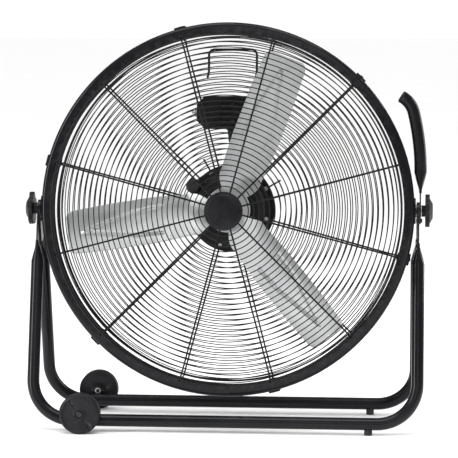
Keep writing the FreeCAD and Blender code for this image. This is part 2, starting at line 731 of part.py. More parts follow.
def guard_section(step):
    """Point (radius, y) and inward normal, a distance of step outwards from the first ring."""
    lean = math.radians(GUARD_DOME_DEG)
    start_radius, start_y = dome_start()
    dome_length = (start_radius - FIRST_RING_RADIUS) / math.cos(lean)
    if step <= dome_length:
        radius = FIRST_RING_RADIUS + step * math.cos(lean)
        return radius, -dome_depth(radius), -math.sin(lean), math.cos(lean)
    turn = (step - dome_length) / GUARD_CORNER
    full_turn = math.pi / 2 - lean
    if turn <= full_turn:
        angle = full_turn - turn
        centre = GUARD_WALL_RADIUS - GUARD_CORNER
        return (centre + GUARD_CORNER * math.cos(angle),
                -GUARD_WALL_DEPTH - GUARD_CORNER * math.sin(angle),
                -math.cos(angle), math.sin(angle))
    along = step - dome_length - full_turn * GUARD_CORNER
    return GUARD_WALL_RADIUS, -GUARD_WALL_DEPTH + along, -1.0, 0.0


def hoop_wire(radius, y, diameter):
    """Ring of wire drawn with flat sides, its section equal in area to the round wire's."""
    side_angle = 2 * math.pi / RING_SIDES
    corner = diameter / 2 * math.sqrt(side_angle / math.sin(side_angle))
    return spun([(radius + corner * math.cos(k * side_angle), y + corner * math.sin(k * side_angle))
                 for k in range(RING_SIDES)])


def guard_rings(first_radius):
    inset = (SPOKE_DIAMETER + RING_DIAMETER) / 2 - WELD_SINK
    rings = []
    step = 0.0
    while True:
        radius, y, normal_r, normal_y = guard_section(step)
        if y > -HALF_HOOP - RING_PITCH / 2:
            return rings
        if radius >= first_radius:
            rings.append(hoop_wire(radius + inset * normal_r, y + inset * normal_y, RING_DIAMETER))
        step += RING_PITCH


def guard_spoke(inner_radius):
    start_radius, start_y = dome_start()
    half = math.radians(GUARD_DOME_DEG + 90.0) / 2
    centre = GUARD_WALL_RADIUS - GUARD_CORNER
    tail = point(GUARD_WALL_RADIUS, SPOKE_DIAMETER / 2 - RIM_WIRE_Y, 0)
    knee = point(GUARD_WALL_RADIUS, -GUARD_WALL_DEPTH, 0)
    bend = point(centre + GUARD_CORNER * math.sin(half), -GUARD_WALL_DEPTH
                 - GUARD_CORNER * math.cos(half), 0)
    shoulder = point(start_radius, start_y, 0)
    tip = point(inner_radius, -dome_depth(inner_radius), 0)
    path = Part.Wire([Part.LineSegment(tail, knee).toShape(), Part.Arc(knee, bend, shoulder).toShape(),
                      Part.LineSegment(shoulder, tip).toShape()])
    section = Part.Face(Part.Wire(Part.makeCircle(SPOKE_DIAMETER / 2, tail, Y_AXIS)))
    return path.makePipe(section)


def wire_guard(first_radius, spoke_radius):
    wires = guard_rings(first_radius)
    wires.append(hoop_wire(RIM_WIRE_RADIUS, -RIM_WIRE_Y, RIM_WIRE_DIAMETER))
    return wires + around_fan_axis(guard_spoke(spoke_radius), SPOKE_COUNT, SPOKE_START_DEG)


def front_guard():
    wires = wire_guard(FIRST_RING_RADIUS, FRONT_SPOKE_RADIUS)
    return wires[0].fuse(wires[1:])


def mount_bar():
    """Short stiffening wire beside a motor screw, from the mount ring over the first rings."""
    inner = MOUNT_RING_OUTER - MOUNT_BAR_OVERLAP
    start = point(inner, -dome_depth(inner), 0)
    end = point(MOUNT_BAR_REACH, -dome_depth(MOUNT_BAR_REACH), 0)
    return rod(start, end, SPOKE_DIAMETER / 2)


def rear_guard():
    wires = wire_guard(MOUNT_RING_OUTER + RING_DIAMETER, REAR_SPOKE_RADIUS)
    wires += around_fan_axis(mount_bar(), MOUNT_COUNT, MOUNT_DEG)
    return flipped(wires[0].fuse(wires[1:]), Y_AXIS)


def badge_plane():
    return -dome_depth(FRONT_SPOKE_RADIUS)


def inner_side(radius):
    """Distance from the middle plane of the side of a spoke that faces the drum."""
    return dome_depth(radius) - SPOKE_DIAMETER / 2 / math.cos(math.radians(GUARD_DOME_DEG))


def badge_plate():
    front = -inner_side(BADGE_PLATE_RADIUS)
    plate = rod_y(front, front + BADGE_PLATE_THICK, BADGE_PLATE_RADIUS)
    return plate.cut(rod_y(front - OVERRUN, front + BADGE_PLATE_THICK + OVERRUN,
                           BADGE_PIN_RADIUS + FIT_GAP))


def badge_cap():
    """Round plastic cap: sloping rim round a flat raised face, held by a pin through the plate."""
    seat = badge_plane() - SPOKE_DIAMETER / 2 - RUNNING_GAP
    back = -inner_side(BADGE_PLATE_RADIUS) + BADGE_PLATE_THICK
    return spun([(0.0, seat - BADGE_THICK),
                 (BADGE_FACE_RADIUS, seat - BADGE_THICK),
                 (BADGE_FACE_RADIUS + BADGE_STEP, seat - BADGE_THICK + BADGE_STEP),
                 (BADGE_FACE_RADIUS + 2 * BADGE_STEP, seat - BADGE_THICK + BADGE_STEP),
                 (BADGE_RADIUS, seat - BADGE_EDGE),
                 (BADGE_RADIUS, seat),
                 (BADGE_PIN_RADIUS, seat),
                 (BADGE_PIN_RADIUS, back),
                 (0.0, back)])


# ---- clips that hold both guards in the hoop, drawn on +X ----

def guard_clip():
    half_length = CLIP_LENGTH / 2
    half_width = CLIP_WIDTH / 2
    pad = block(HOOP_RADIUS - CLIP_PROUD, HOOP_RADIUS + CLIP_PROUD, -half_width, half_width,
                -half_length, half_length)
    pad = pad.makeFillet(CLIP_CORNER, [e for e in pad.Edges
                         if e.CenterOfMass.x > HOOP_RADIUS - CLIP_CORNER])
    pad = pad.cut(rod_y(-half_width - OVERRUN, half_width + OVERRUN, HOOP_RADIUS))
    return pad.cut(rod_x(0, HOOP_RADIUS + CLIP_PROUD + OVERRUN, 0, 0, CLIP_SCREW / 2 + FIT_GAP))


def hook_radius():
    return RIM_WIRE_RADIUS + RIM_WIRE_DIAMETER / 2 + RIM_WIRE_GAP


def rim_hook():
    """Inner strip whose turned ends keep the two rim wires against the hoop's lips."""
    low = hook_radius()
    half = HOOK_LENGTH / 2
    reach = RIM_WIRE_Y - RIM_WIRE_DIAMETER / 2 - RIM_WIRE_GAP
    strip = block(low, low + HOOK_THICK, -reach, reach, -half, half)
    tabs = [block(low - HOOK_TAB, low, y, y + HOOK_THICK, -half, half)
            for y in (-reach, reach - HOOK_THICK)]
    return strip.fuse(tabs).removeSplitter().cut(rod_x(low - OVERRUN, low + HOOK_THICK + OVERRUN, 0, 0,
                                                       CLIP_SCREW / 2 + FIT_GAP))


def clip_screw():
    seat = HOOP_RADIUS + CLIP_PROUD
    shank = rod_x(hook_radius() - CLIP_SCREW_TAIL, seat, 0, 0, CLIP_SCREW / 2)
    head = rod_x(seat, seat + CLIP_SCREW_HEAD_THICK, 0, 0, CLIP_SCREW_HEAD / 2)
    return shank.fuse(head)


# ---- blade and hub ----

def blade_section(radius, chord, pitch_deg):
    """Closed cambered strip, square to the radius; the clockwise-leading edge is at the back."""
    pitch = math.radians(pitch_deg)
    half = chord / 2
    camber = chord * BLADE_CAMBER
    sides = []
    for offset in (-BLADE_THICK / 2, BLADE_THICK / 2):
        side = []
        for along, rise in ((-half, 0.0), (0.0, camber), (half, 0.0)):
            across = rise + offset - camber / 2
            z = along * math.cos(pitch) + across * math.sin(pitch)
            y = BLADE_PLANE - along * math.sin(pitch) + across * math.cos(pitch)
            side.append(point(radius, y, z))
        sides.append(side)
    front, back = sides
    return Part.Wire([Part.Arc(*front).toShape(),
                      Part.LineSegment(front[2], back[2]).toShape(),
                      Part.Arc(back[2], back[1], back[0]).toShape(),
                      Part.LineSegment(back[0], front[0]).toShape()])


def fan_blade():
    sections = [blade_section(share * BLADE_TIP_RADIUS, chord, pitch)
                for share, chord, pitch in BLADE_STATIONS]
    blade = Part.makeLoft(sections, True, False)
    disc = rod_y(BLADE_PLANE - BLADE_THICK / 2, BLADE_BACK, BLADE_DISC_RADIUS)
    press = disc.fuse(around_fan_axis(blade, BLADE_COUNT, BLADE_START_DEG))
    room = HUB_FLANGE_RADIUS + HUB_FLANGE_ROOM
    press = press.cut(rod_y(BLADE_PLANE - HUB_FLANGE_RADIUS, BLADE_PLANE - BLADE_THICK / 2, room))
    press = press.cut(rod_y(BLADE_BACK, BLADE_PLANE + HUB_FLANGE_RADIUS, room))
    low = BLADE_PLANE - BLADE_THICK
    high = BLADE_PLANE + BLADE_THICK
    press = press.cut(rod_y(low, high, SHAFT_DIAMETER / 2 + FIT_GAP))
    for hole in around_fan_axis(rod_y(low, high, HUB_RIVET_DIAMETER / 2 + FIT_GAP,
                                      HUB_RIVET_CIRCLE),
                                HUB_RIVET_COUNT, 0.0):
        press = press.cut(hole)
    return press


def blade_hub():
    seat = BLADE_BACK + FIT_GAP
    flange = rod_y(seat, seat + HUB_FLANGE_THICK, HUB_FLANGE_RADIUS)
    hub = flange.fuse(rod_y(seat + HUB_FLANGE_THICK, seat + HUB_BOSS_LENGTH, HUB_BOSS_RADIUS))
    hub = hub.removeSplitter().cut(rod_y(seat - OVERRUN, seat + HUB_BOSS_LENGTH + OVERRUN,
                                         SHAFT_DIAMETER / 2 + FIT_GAP))
    for hole in around_fan_axis(rod_y(seat - OVERRUN, seat + HUB_FLANGE_THICK + OVERRUN,
                                      HUB_RIVET_DIAMETER / 2 + FIT_GAP, HUB_RIVET_CIRCLE),
                                HUB_RIVET_COUNT, 0.0):
        hub = hub.cut(hole)
    y = seat + HUB_FLANGE_THICK + (HUB_BOSS_LENGTH - HUB_FLANGE_THICK) / 2
    return hub.cut(rod_x(0, HUB_BOSS_RADIUS + OVERRUN, y, 0, SETSCREW_DIAMETER / 2 + FIT_GAP))


def hub_setscrew():
    y = BLADE_BACK + FIT_GAP + HUB_FLANGE_THICK + (HUB_BOSS_LENGTH - HUB_FLANGE_THICK) / 2
    screw = rod_x(SHAFT_DIAMETER / 2, HUB_BOSS_RADIUS + SETSCREW_PROUD, y, 0, SETSCREW_DIAMETER / 2)
    return screw.cut(rod_y(y - SETSCREW_DIAMETER, y + SETSCREW_DIAMETER, SHAFT_DIAMETER / 2 + FIT_GAP))


def hub_rivet():
    front = BLADE_PLANE - BLADE_THICK / 2
    back = BLADE_BACK + FIT_GAP + HUB_FLANGE_THICK
    shank = rod_y(front, back, HUB_RIVET_DIAMETER / 2, HUB_RIVET_CIRCLE)
    heads = [rod_y(front - HUB_RIVET_HEAD_THICK, front, HUB_RIVET_HEAD / 2, HUB_RIVET_CIRCLE),
             rod_y(back, back + HUB_RIVET_HEAD_THICK, HUB_RIVET_HEAD / 2, HUB_RIVET_CIRCLE)]
    return shank.fuse(heads)


# ---- motor ----

def bearing_span(front):
    if front:
        return MOTOR_FRONT + MOTOR_FACE_WALL, MOTOR_FRONT + MOTOR_FACE_WALL + BEARING_WIDTH
    return motor_back() - MOTOR_FACE_WALL - BEARING_WIDTH, motor_back() - MOTOR_FACE_WALL


def end_bell(face, split):
    """Cast cup with a rounded corner, a seat for one bearing and a flange at its open end."""
    way = 1.0 if split > face else -1.0
    outer = MOTOR_RADIUS
    inner = MOTOR_RADIUS - MOTOR_WALL
    seat = BEARING_RADIUS + BEARING_SEAT_WALL
    skin = face + way * MOTOR_FACE_WALL
    flange = split - way * MOTOR_FLANGE_THICK
    seat_end = skin + way * BEARING_WIDTH
    bore = BEARING_RADIUS + FIT_GAP
    shaft_hole = SHAFT_DIAMETER / 2 + SHAFT_CLEARANCE
    points = [(shaft_hole, face), (outer - MOTOR_CORNER, face), (outer, face + way * MOTOR_CORNER),
              (outer, flange), (MOTOR_FLANGE_RADIUS, flange), (MOTOR_FLANGE_RADIUS, split),
              (inner, split), (inner, face + way * MOTOR_CORNER), (inner - MOTOR_CORNER + MOTOR_WALL, skin),
              (seat, skin), (seat, seat_end), (bore, seat_end), (bore, skin), (shaft_hole, skin)]
    bell = spun(points)
    for hole in around_fan_axis(rod_y(split - MOTOR_WALL - MOTOR_FLANGE_THICK,
                                      split + MOTOR_WALL + MOTOR_FLANGE_THICK, MOTOR_BOLT / 2 + FIT_GAP,
                                      MOTOR_BOLT_CIRCLE), MOUNT_COUNT, MOTOR_BOLT_DEG):
        bell = bell.cut(hole)
    return bell


def motor_front_shell():
    return end_bell(MOTOR_FRONT, MOTOR_SPLIT - FIT_GAP)


def mounting_ear():
    low = motor_back() - EAR_THICK
    root = MOTOR_RADIUS - MOTOR_CORNER - EAR_THICK
    arm = block(root, EAR_CIRCLE, low, motor_back(), -EAR_RADIUS, EAR_RADIUS)
    ear = arm.fuse(rod_y(low, motor_back(), EAR_RADIUS, EAR_CIRCLE)).removeSplitter()
    return ear.cut(rod_y(low - OVERRUN, motor_back() + OVERRUN, MOUNT_SCREW / 2 + BORE_GAP, EAR_CIRCLE))


def motor_rear_shell():
    bell = end_bell(motor_back(), MOTOR_SPLIT + FIT_GAP)
    bell = bell.fuse(around_fan_axis(mounting_ear(), MOUNT_COUNT, MOUNT_DEG))
    return bell.cut(gland_hole(MOTOR_FACE_WALL + 2))


def motor_bearing(front):
    start, end = bearing_span(front)
    race = rod_y(start, end, BEARING_RADIUS)
    return race.cut(rod_y(start - OVERRUN, end + OVERRUN, SHAFT_DIAMETER / 2 + FIT_GAP))


def stator_middle():
    return (MOTOR_FRONT + motor_back()) / 2


def motor_stator():
    half = STATOR_LENGTH / 2
    middle = stator_middle()
    core = rod_y(middle - half, middle + half, MOTOR_RADIUS - MOTOR_WALL - FIT_GAP)
    return core.cut(rod_y(middle - half - OVERRUN, middle + half + OVERRUN, ROTOR_RADIUS + AIR_GAP))


def motor_windings():
    rings = []
    half = STATOR_LENGTH / 2
    for low in (stator_middle() - half - WINDING_LENGTH, stator_middle() + half):
        rings.append(rod_y(low, low + WINDING_LENGTH, WINDING_OUTER).cut(
            rod_y(low - OVERRUN, low + WINDING_LENGTH + OVERRUN, WINDING_INNER)))
    return group(rings)


def rotor_core():
    half = STATOR_LENGTH / 2
    middle = stator_middle()
    core = rod_y(middle - half, middle + half, ROTOR_RADIUS)
    return core.cut(rod_y(middle - half - OVERRUN, middle + half + OVERRUN, SHAFT_DIAMETER / 2 + FIT_GAP))


def motor_shaft():
    shaft = rod_y(BLADE_PLANE - SHAFT_FRONT, motor_back() - MOTOR_FACE_WALL, SHAFT_DIAMETER / 2)
    return shaft.makeChamfer(SHAFT_CHAMFER, [e for e in shaft.Edges if len(e.Vertexes) == 1])


def motor_bolt():
    start = MOTOR_SPLIT - MOTOR_FLANGE_THICK
    end = MOTOR_SPLIT + MOTOR_FLANGE_THICK
    seat = start - FIT_GAP
    shank = rod_y(seat, end + NUT_THICK + SCREW_TAIL, MOTOR_BOLT / 2, MOTOR_BOLT_CIRCLE)
    head = moved(hexagon(SMALL_FLATS, seat - HEAD_THICK, seat), x=MOTOR_BOLT_CIRCLE)
    nut = moved(hexagon(SMALL_FLATS, end + FIT_GAP, end + NUT_THICK), x=MOTOR_BOLT_CIRCLE)
    return fused([shank, head, nut])


def capacitor_circle():
    return MOTOR_RADIUS + CAPACITOR_GAP + CAPACITOR_RADIUS


def run_capacitor():
    can = rod_y(CAPACITOR_FRONT, CAPACITOR_BACK, CAPACITOR_RADIUS, capacitor_circle())
    return can.makeFillet(CAPACITOR_EDGE, [e for e in can.Edges if len(e.Vertexes) == 1])


def capacitor_clip():
    """Steel band round the capacitor, with two wings that lie on the motor's front shell."""
    band = rod_y(CLIP_BAND_FRONT, CLIP_BAND_BACK, CAPACITOR_RADIUS + CLIP_BAND_THICK,
                 capacitor_circle())
    skin = rod_y(CLIP_BAND_FRONT, CLIP_BAND_BACK, MOTOR_RADIUS + CLIP_BAND_THICK)
    reach = MOTOR_RADIUS + CAPACITOR_RADIUS
    wings = skin.common(block(0, reach, CLIP_BAND_FRONT, CLIP_BAND_BACK, -CLIP_BAND_WING,
                              CLIP_BAND_WING))
    clip = band.fuse(wings).removeSplitter()
    clip = clip.cut(rod_y(CLIP_BAND_FRONT - OVERRUN, CLIP_BAND_BACK + OVERRUN, MOTOR_RADIUS + FIT_GAP))
    return clip.cut(rod_y(CLIP_BAND_FRONT - OVERRUN, CLIP_BAND_BACK + OVERRUN, CAPACITOR_RADIUS + FIT_GAP,
                          capacitor_circle()))


def mount_ring_face():
    return inner_side(MOUNT_RING_OUTER) - MOUNT_RING_THICK


def motor_back():
    return mount_ring_face() - FIT_GAP


def mount_ring():
    """Steel annulus welded inside the rear guard's spokes; the motor's ears bolt to it."""
    face = mount_ring_face()
    ring = rod_y(face, face + MOUNT_RING_THICK, MOUNT_RING_OUTER)
    ring = ring.cut(rod_y(face - OVERRUN, face + MOUNT_RING_THICK + OVERRUN, MOUNT_RING_INNER))
    for hole in around_fan_axis(rod_y(face - OVERRUN, face + MOUNT_RING_THICK + OVERRUN,
                                      MOUNT_SCREW / 2 + BORE_GAP, EAR_CIRCLE),
                                MOUNT_COUNT, MOUNT_DEG):
        ring = ring.cut(hole)
    return ring


def mount_screw():
    seat = motor_back() - EAR_THICK - FIT_GAP
    end = mount_ring_face() + MOUNT_RING_THICK + NUT_THICK + SCREW_TAIL
    shank = rod_y(seat, end, MOUNT_SCREW / 2, EAR_CIRCLE)
    head = moved(hexagon(NUT_FLATS, seat - HEAD_THICK, seat), x=EAR_CIRCLE)
    return shank.fuse(head).removeSplitter()


def mount_nut():
    start = mount_ring_face() + MOUNT_RING_THICK + FIT_GAP
    nut = moved(hexagon(NUT_FLATS, start, start + NUT_THICK), x=EAR_CIRCLE)
    return nut.cut(rod_y(start - OVERRUN, start + NUT_THICK + OVERRUN, MOUNT_SCREW / 2 + FIT_GAP,
                         EAR_CIRCLE))


# ---- control box behind the rear guard ----

def box_front():
    return dome_depth(BOX_RISE) + BOX_STANDOFF


def box_outline(y, shrink):
    half_x = BOX_WIDTH / 2 - shrink
    half_z = BOX_HEIGHT / 2 - shrink
    cut = BOX_CHAMFER - shrink * (2 - math.sqrt(2))
    corners = [(-half_x + cut, -half_z), (half_x - cut, -half_z), (half_x, -half_z + cut),
               (half_x, half_z - cut), (half_x - cut, half_z), (-half_x + cut, half_z),
               (-half_x, half_z - cut), (-half_x, -half_z + cut)]
    return Part.Face(outline([(x, y, z + BOX_RISE) for x, z in corners]))


def lid_posts():
    half_x = BOX_WIDTH / 2 - LID_SCREW_INSET
    return [(x, BOX_RISE + LID_SCREW_RISE) for x in (-half_x + BOX_CHAMFER, half_x)]


def control_box():
    front = box_front()
    shell = box_outline(front, 0.0).extrude(point(0, BOX_DEPTH, 0))
    shell = shell.cut(box_outline(front + BOX_WALL, BOX_WALL).extrude(point(0, BOX_DEPTH, 0)))
    for x, z in lid_posts():
        shell = shell.fuse(rod_y(front + BOX_WALL, front + BOX_DEPTH - LID_THICK, LID_POST_RADIUS,
                                 x, z))
        shell = shell.cut(rod_y(front + BOX_DEPTH / 2, front + BOX_DEPTH, LID_SCREW / 2 + FIT_GAP,
                                x, z))
    shell = shell.cut(gland_bore(MOTOR_GLAND_X)).cut(gland_bore(MAINS_GLAND_X))
    left = -BOX_WIDTH / 2
    shell = shell.cut(rod_x(left - OVERRUN, left + BOX_WALL + OVERRUN, box_middle_y(), BOX_RISE,
                            SWITCH_STEM / 2 + RUNNING_GAP))
    for z in (-STRAP_BOLT_RISE, STRAP_BOLT_RISE):
        shell = shell.cut(rod_y(front - OVERRUN, front + BOX_WALL + OVERRUN, STRAP_BOLT / 2 + FIT_GAP, 0.0,
                                BOX_RISE + z))
    return shell


def box_middle_y():
    return box_front() + BOX_DEPTH / 2


def box_lid():
    back = box_front() + BOX_DEPTH
    lid = box_outline(back - LID_THICK, BOX_WALL + FIT_GAP).extrude(point(0, LID_THICK, 0))
    for x, z in lid_posts():
        lid = lid.cut(rod_y(back - LID_THICK - OVERRUN, back + OVERRUN, LID_SCREW / 2 + FIT_GAP, x, z))
    return lid


def lid_screws():
    back = box_front() + BOX_DEPTH
    screws = []
    for x, z in lid_posts():
        shank = rod_y(back - LID_SCREW_LENGTH, back, LID_SCREW / 2, x, z)
        head = rod_y(back, back + LID_SCREW_HEAD_THICK, LID_SCREW, x, z)
        screws.append(shank.fuse(head))
    return group(screws)


def box_strap():
    """Bent steel bracket: back plate under the box and two legs cut to the guard's slope."""
    plate_back = box_front() - FIT_GAP
    plate_front = plate_back - STRAP_THICK
    low = BOX_RISE - STRAP_HEIGHT / 2
    high = BOX_RISE + STRAP_HEIGHT / 2
    wire_face = WELD_SINK - SPOKE_DIAMETER / 2
    plate = block(-STRAP_HALF_WIDTH, STRAP_HALF_WIDTH, plate_front, plate_back, low, high)
    leg = outline([(STRAP_HALF_WIDTH, plate_front, low), (STRAP_HALF_WIDTH, plate_front, high),
                   (STRAP_HALF_WIDTH, dome_depth(high) + wire_face, high),
                   (STRAP_HALF_WIDTH, dome_depth(low) + wire_face, low)])
    leg = Part.Face(leg).extrude(point(-STRAP_THICK, 0, 0))
    strap = plate.fuse([leg, flipped(leg, X_AXIS)]).removeSplitter()
    for z in (-STRAP_BOLT_RISE, STRAP_BOLT_RISE):
        strap = strap.cut(rod_y(plate_front - OVERRUN, plate_back + OVERRUN, STRAP_BOLT / 2 + FIT_GAP, 0.0,
                                BOX_RISE + z))
    return strap


def strap_bolts():
    start = box_front() - FIT_GAP - STRAP_THICK
    end = box_front() + BOX_WALL
    bolts = []
    for z in (BOX_RISE - STRAP_BOLT_RISE, BOX_RISE + STRAP_BOLT_RISE):
        shank = rod_y(start, end + NUT_THICK, STRAP_BOLT / 2, 0.0, z)
        head = rod_y(start - STRAP_HEAD_THICK, start, STRAP_BOLT, 0.0, z)
        nut = moved(hexagon(SMALL_FLATS, end + FIT_GAP, end + NUT_THICK - SCREW_TAIL), z=z)
        bolts.append(fused([shank, head, nut]))
    return group(bolts)


def speed_switch():
    left = -BOX_WIDTH / 2
    half = SWITCH_SIZE / 2
    middle = box_middle_y()
    body = block(left + BOX_WALL + FIT_GAP, left + BOX_WALL + SWITCH_SIZE, middle - half,
                 middle + half, BOX_RISE - half, BOX_RISE + half)
    return body


def dial_stem():
    left = -BOX_WIDTH / 2
    return rod_x(left - DIAL_LENGTH / 2, left + BOX_WALL + FIT_GAP, box_middle_y(), BOX_RISE,
                 SWITCH_STEM / 2)


def speed_dial():
    """Round moulded dial on the left end of the box, with a raised finger grip across it."""
    start = -BOX_WIDTH / 2 - RUNNING_GAP
    y = box_middle_y()
    skirt = Part.makeCone(DIAL_RADIUS, DIAL_TOP_RADIUS, DIAL_SKIRT, point(start, y, BOX_RISE),
                          point(-1, 0, 0))
    grip = block(start - DIAL_LENGTH, start, y - DIAL_RADIUS, y + DIAL_RADIUS,
                 BOX_RISE - DIAL_GRIP_WIDTH / 2, BOX_RISE + DIAL_GRIP_WIDTH / 2)
    grip = grip.common(rod_x(start - DIAL_LENGTH, start, y, BOX_RISE, DIAL_TOP_RADIUS))
    stem = dial_stem().common(rod_x(start - DIAL_LENGTH, 0, y, BOX_RISE, SWITCH_STEM / 2))
    return fused([skirt, grip, stem])


def gland_bore(x):
    low = BOX_RISE - BOX_HEIGHT / 2
    return rod(point(x, box_middle_y(), low - OVERRUN), point(x, box_middle_y(), low + BOX_WALL + OVERRUN),
               GLAND_TIP_RADIUS + FIT_GAP)


def box_gland(x, bore_radius):
    """Tapered rubber sleeve hanging under the box, with a collar against its floor."""
    y = box_middle_y()
    low = BOX_RISE - BOX_HEIGHT / 2
    neck = rod(point(x, y, low), point(x, y, low + BOX_WALL), GLAND_TIP_RADIUS)
    collar = rod(point(x, y, low - GLAND_FLANGE_THICK), point(x, y, low), GLAND_FLANGE_RADIUS)
    taper = Part.makeCone(GLAND_RADIUS, GLAND_TIP_RADIUS, GLAND_LENGTH - GLAND_FLANGE_THICK,
                          point(x, y, low - GLAND_FLANGE_THICK), point(0, 0, -1))
    sleeve = fused([neck, collar, taper])
    return sleeve.cut(rod(point(x, y, low - GLAND_LENGTH - OVERRUN), point(x, y, low + BOX_WALL + OVERRUN),
                          bore_radius))


def lead_end_heading():
    last = point(*LEAD_POINTS[-1])
    return last.sub(point(*LEAD_POINTS[-2])).normalize()


def motor_gland_base():
    """Where the lead's last run, carried on, meets the motor's back face."""
    last = point(*LEAD_POINTS[-1])
    heading = lead_end_heading()
    return last + heading * ((motor_back() - last.y) / heading.y)


def gland_hole(depth):
    base = motor_gland_base()
    return rod(base - lead_end_heading() * LEAD_END_ROOM, base + lead_end_heading() * depth,
               LEAD_DIAMETER / 2 + BORE_GAP)


def motor_gland():
    base = motor_gland_base()
    out = lead_end_heading() * -1.0
    last = point(*LEAD_POINTS[-1])
    sleeve = Part.makeCone(GLAND_RADIUS, GLAND_TIP_RADIUS, (last - base).Length + MOTOR_GLAND_LENGTH,
                           base - out * MOTOR_GLAND_SINK, out)
    behind_motor = rod_y(motor_back(), motor_back() + MOTOR_RADIUS, MOTOR_RADIUS)
    return sleeve.common(behind_motor).cut(lead_cutter())


def lead_path():
    nodes = [point(*p) for p in LEAD_POINTS]
    edges = []
    start = nodes[0]
    for before, corner, after in zip(nodes, nodes[1:], nodes[2:]):
        arrive = corner.sub(before)
        leave = after.sub(corner)
        trim = LEAD_ARC_SHARE * min(arrive.Length, leave.Length)
        arrive.normalize()
        leave.normalize()
        turn = math.acos(max(-1.0, min(1.0, arrive.dot(leave))))
        radius = trim / math.tan(turn / 2)
        inward = (leave - arrive).normalize()
        enter = corner - arrive * trim
        leave_at = corner + leave * trim
        middle = corner + inward * (radius / math.cos(turn / 2) - radius)
        edges.append(Part.LineSegment(start, enter).toShape())
        edges.append(Part.Arc(enter, middle, leave_at).toShape())
        print("lead bend radius", round(radius, 1))
        start = leave_at
    edges.append(Part.LineSegment(start, nodes[-1]).toShape())
    return Part.Wire(edges)


def lead_tube(radius):
    nodes = [point(*p) for p in LEAD_POINTS[:2]]
    section = Part.Face(Part.Wire(Part.makeCircle(radius, nodes[0], nodes[1].sub(nodes[0]))))
    return lead_path().makePipe(section)


def lead_cutter():
    last = point(*LEAD_POINTS[-1])
    heading = lead_end_heading()
    return rod(last - heading * LEAD_END_ROOM, last + heading * LEAD_END_ROOM,
               LEAD_DIAMETER / 2 + FIT_GAP)


def motor_lead():
    lead = lead_tube(LEAD_DIAMETER / 2)
    area = math.pi * LEAD_DIAMETER ** 2 / 4
    print("lead volume", round(lead.Volume), "section times length", round(area * lead_path().Length))
    return lead


# ---- wire grab handle on the back of the rear guard ----

def grab_handle():
    foot_y = dome_depth(math.hypot(GRAB_LOW, GRAB_HALF_WIDTH)) - RING_DIAMETER / 2
    back = foot_y + GRAB_STANDOFF
    half = GRAB_HALF_WIDTH
    corners = [point(-half, foot_y, GRAB_LOW), point(-half, back, GRAB_LOW + GRAB_SPLAY),
               point(-half, back, GRAB_HIGH), point(half, back, GRAB_HIGH),
               point(half, back, GRAB_LOW + GRAB_SPLAY), point(half, foot_y, GRAB_LOW)]
    edges = []
    start = corners[0]
    for before, corner, after in zip(corners, corners[1:], corners[2:]):
        arrive = corner.sub(before).normalize()
        leave = after.sub(corner).normalize()
        turn = math.acos(arrive.dot(leave))
        trim = GRAB_BEND * math.tan(turn / 2)
        inward = (leave - arrive).normalize()
        middle = corner + inward * (GRAB_BEND / math.cos(turn / 2) - GRAB_BEND)
        edges.append(Part.LineSegment(start, corner - arrive * trim).toShape())
        edges.append(Part.Arc(corner - arrive * trim, middle, corner + leave * trim).toShape())
        start = corner + leave * trim
    edges.append(Part.LineSegment(start, corners[-1]).toShape())
    section = Part.Face(Part.Wire(Part.makeCircle(GRAB_DIAMETER / 2, corners[0],
                                                  corners[1].sub(corners[0]))))
    return Part.Wire(edges).makePipe(section)


# ---- write every piece ----

os.makedirs("parts", exist_ok=True)

save("front_frame", u_frame(-1, FRONT_FLAT_X))
save("rear_frame", u_frame(1, REAR_FLAT_X))
save("lift_handle", lift_handle())
save("handle_cap", handle_cap())
save("frame_rivets", frame_rivets())
save("friction_washers", friction_washers())
save("clamp_washers", clamp_washers())
save("wheel_brackets", both_sides(wheel_bracket()))
save("wheel_axles", both_sides(wheel_axle()))
save("axle_nuts", both_sides(axle_nut()))
save("feet", both_sides(foot()))
save("front_wheel", wheel())
save("rear_wheel", flipped(wheel(), Y_AXIS))
RIGHT_KNOB = knob_start(RIGHT_CLAMP_X)
LEFT_KNOB = knob_start(LEFT_CLAMP_X)
save("tilt_knob_right", on_drum(tilt_knob(RIGHT_KNOB)))
save("tilt_knob_left", on_drum(flipped(tilt_knob(LEFT_KNOB), X_AXIS)))
save("knob_insert_right", on_drum(knob_insert(RIGHT_KNOB)))
save("knob_insert_left", on_drum(flipped(knob_insert(LEFT_KNOB), X_AXIS)))
save("pivot_bolt_right", on_drum(pivot_bolt(RIGHT_CLAMP_X)))
save("pivot_bolt_left", on_drum(flipped(pivot_bolt(LEFT_CLAMP_X), X_AXIS)))
save("drum_hoop", on_drum(hoop()))
save("pivot_pads", on_drum(pivot_pads()))
save("front_guard", on_drum(front_guard()))
save("rear_guard", on_drum(rear_guard()))
save("badge_plate", on_drum(badge_plate()))
save("badge_cap", on_drum(badge_cap()))
save("guard_clips", on_drum(group(around_fan_axis(guard_clip(), CLIP_COUNT, CLIP_START_DEG))))
save("rim_hooks", on_drum(group(around_fan_axis(rim_hook(), CLIP_COUNT, CLIP_START_DEG))))
save("clip_screws", on_drum(group(around_fan_axis(clip_screw(), CLIP_COUNT, CLIP_START_DEG))))
save("fan_blade", on_drum(fan_blade()))
save("blade_hub", on_drum(blade_hub()))
save("hub_setscrew", on_drum(hub_setscrew()))
save("hub_rivets", on_drum(group(around_fan_axis(hub_rivet(), HUB_RIVET_COUNT, 0.0))))
save("motor_shaft", on_drum(motor_shaft()))
save("rotor_core", on_drum(rotor_core()))
save("motor_front_shell", on_drum(motor_front_shell()))
save("motor_rear_shell", on_drum(motor_rear_shell()))
save("front_bearing", on_drum(motor_bearing(True)))
save("rear_bearing", on_drum(motor_bearing(False)))
save("motor_stator", on_drum(motor_stator()))
save("motor_windings", on_drum(motor_windings()))
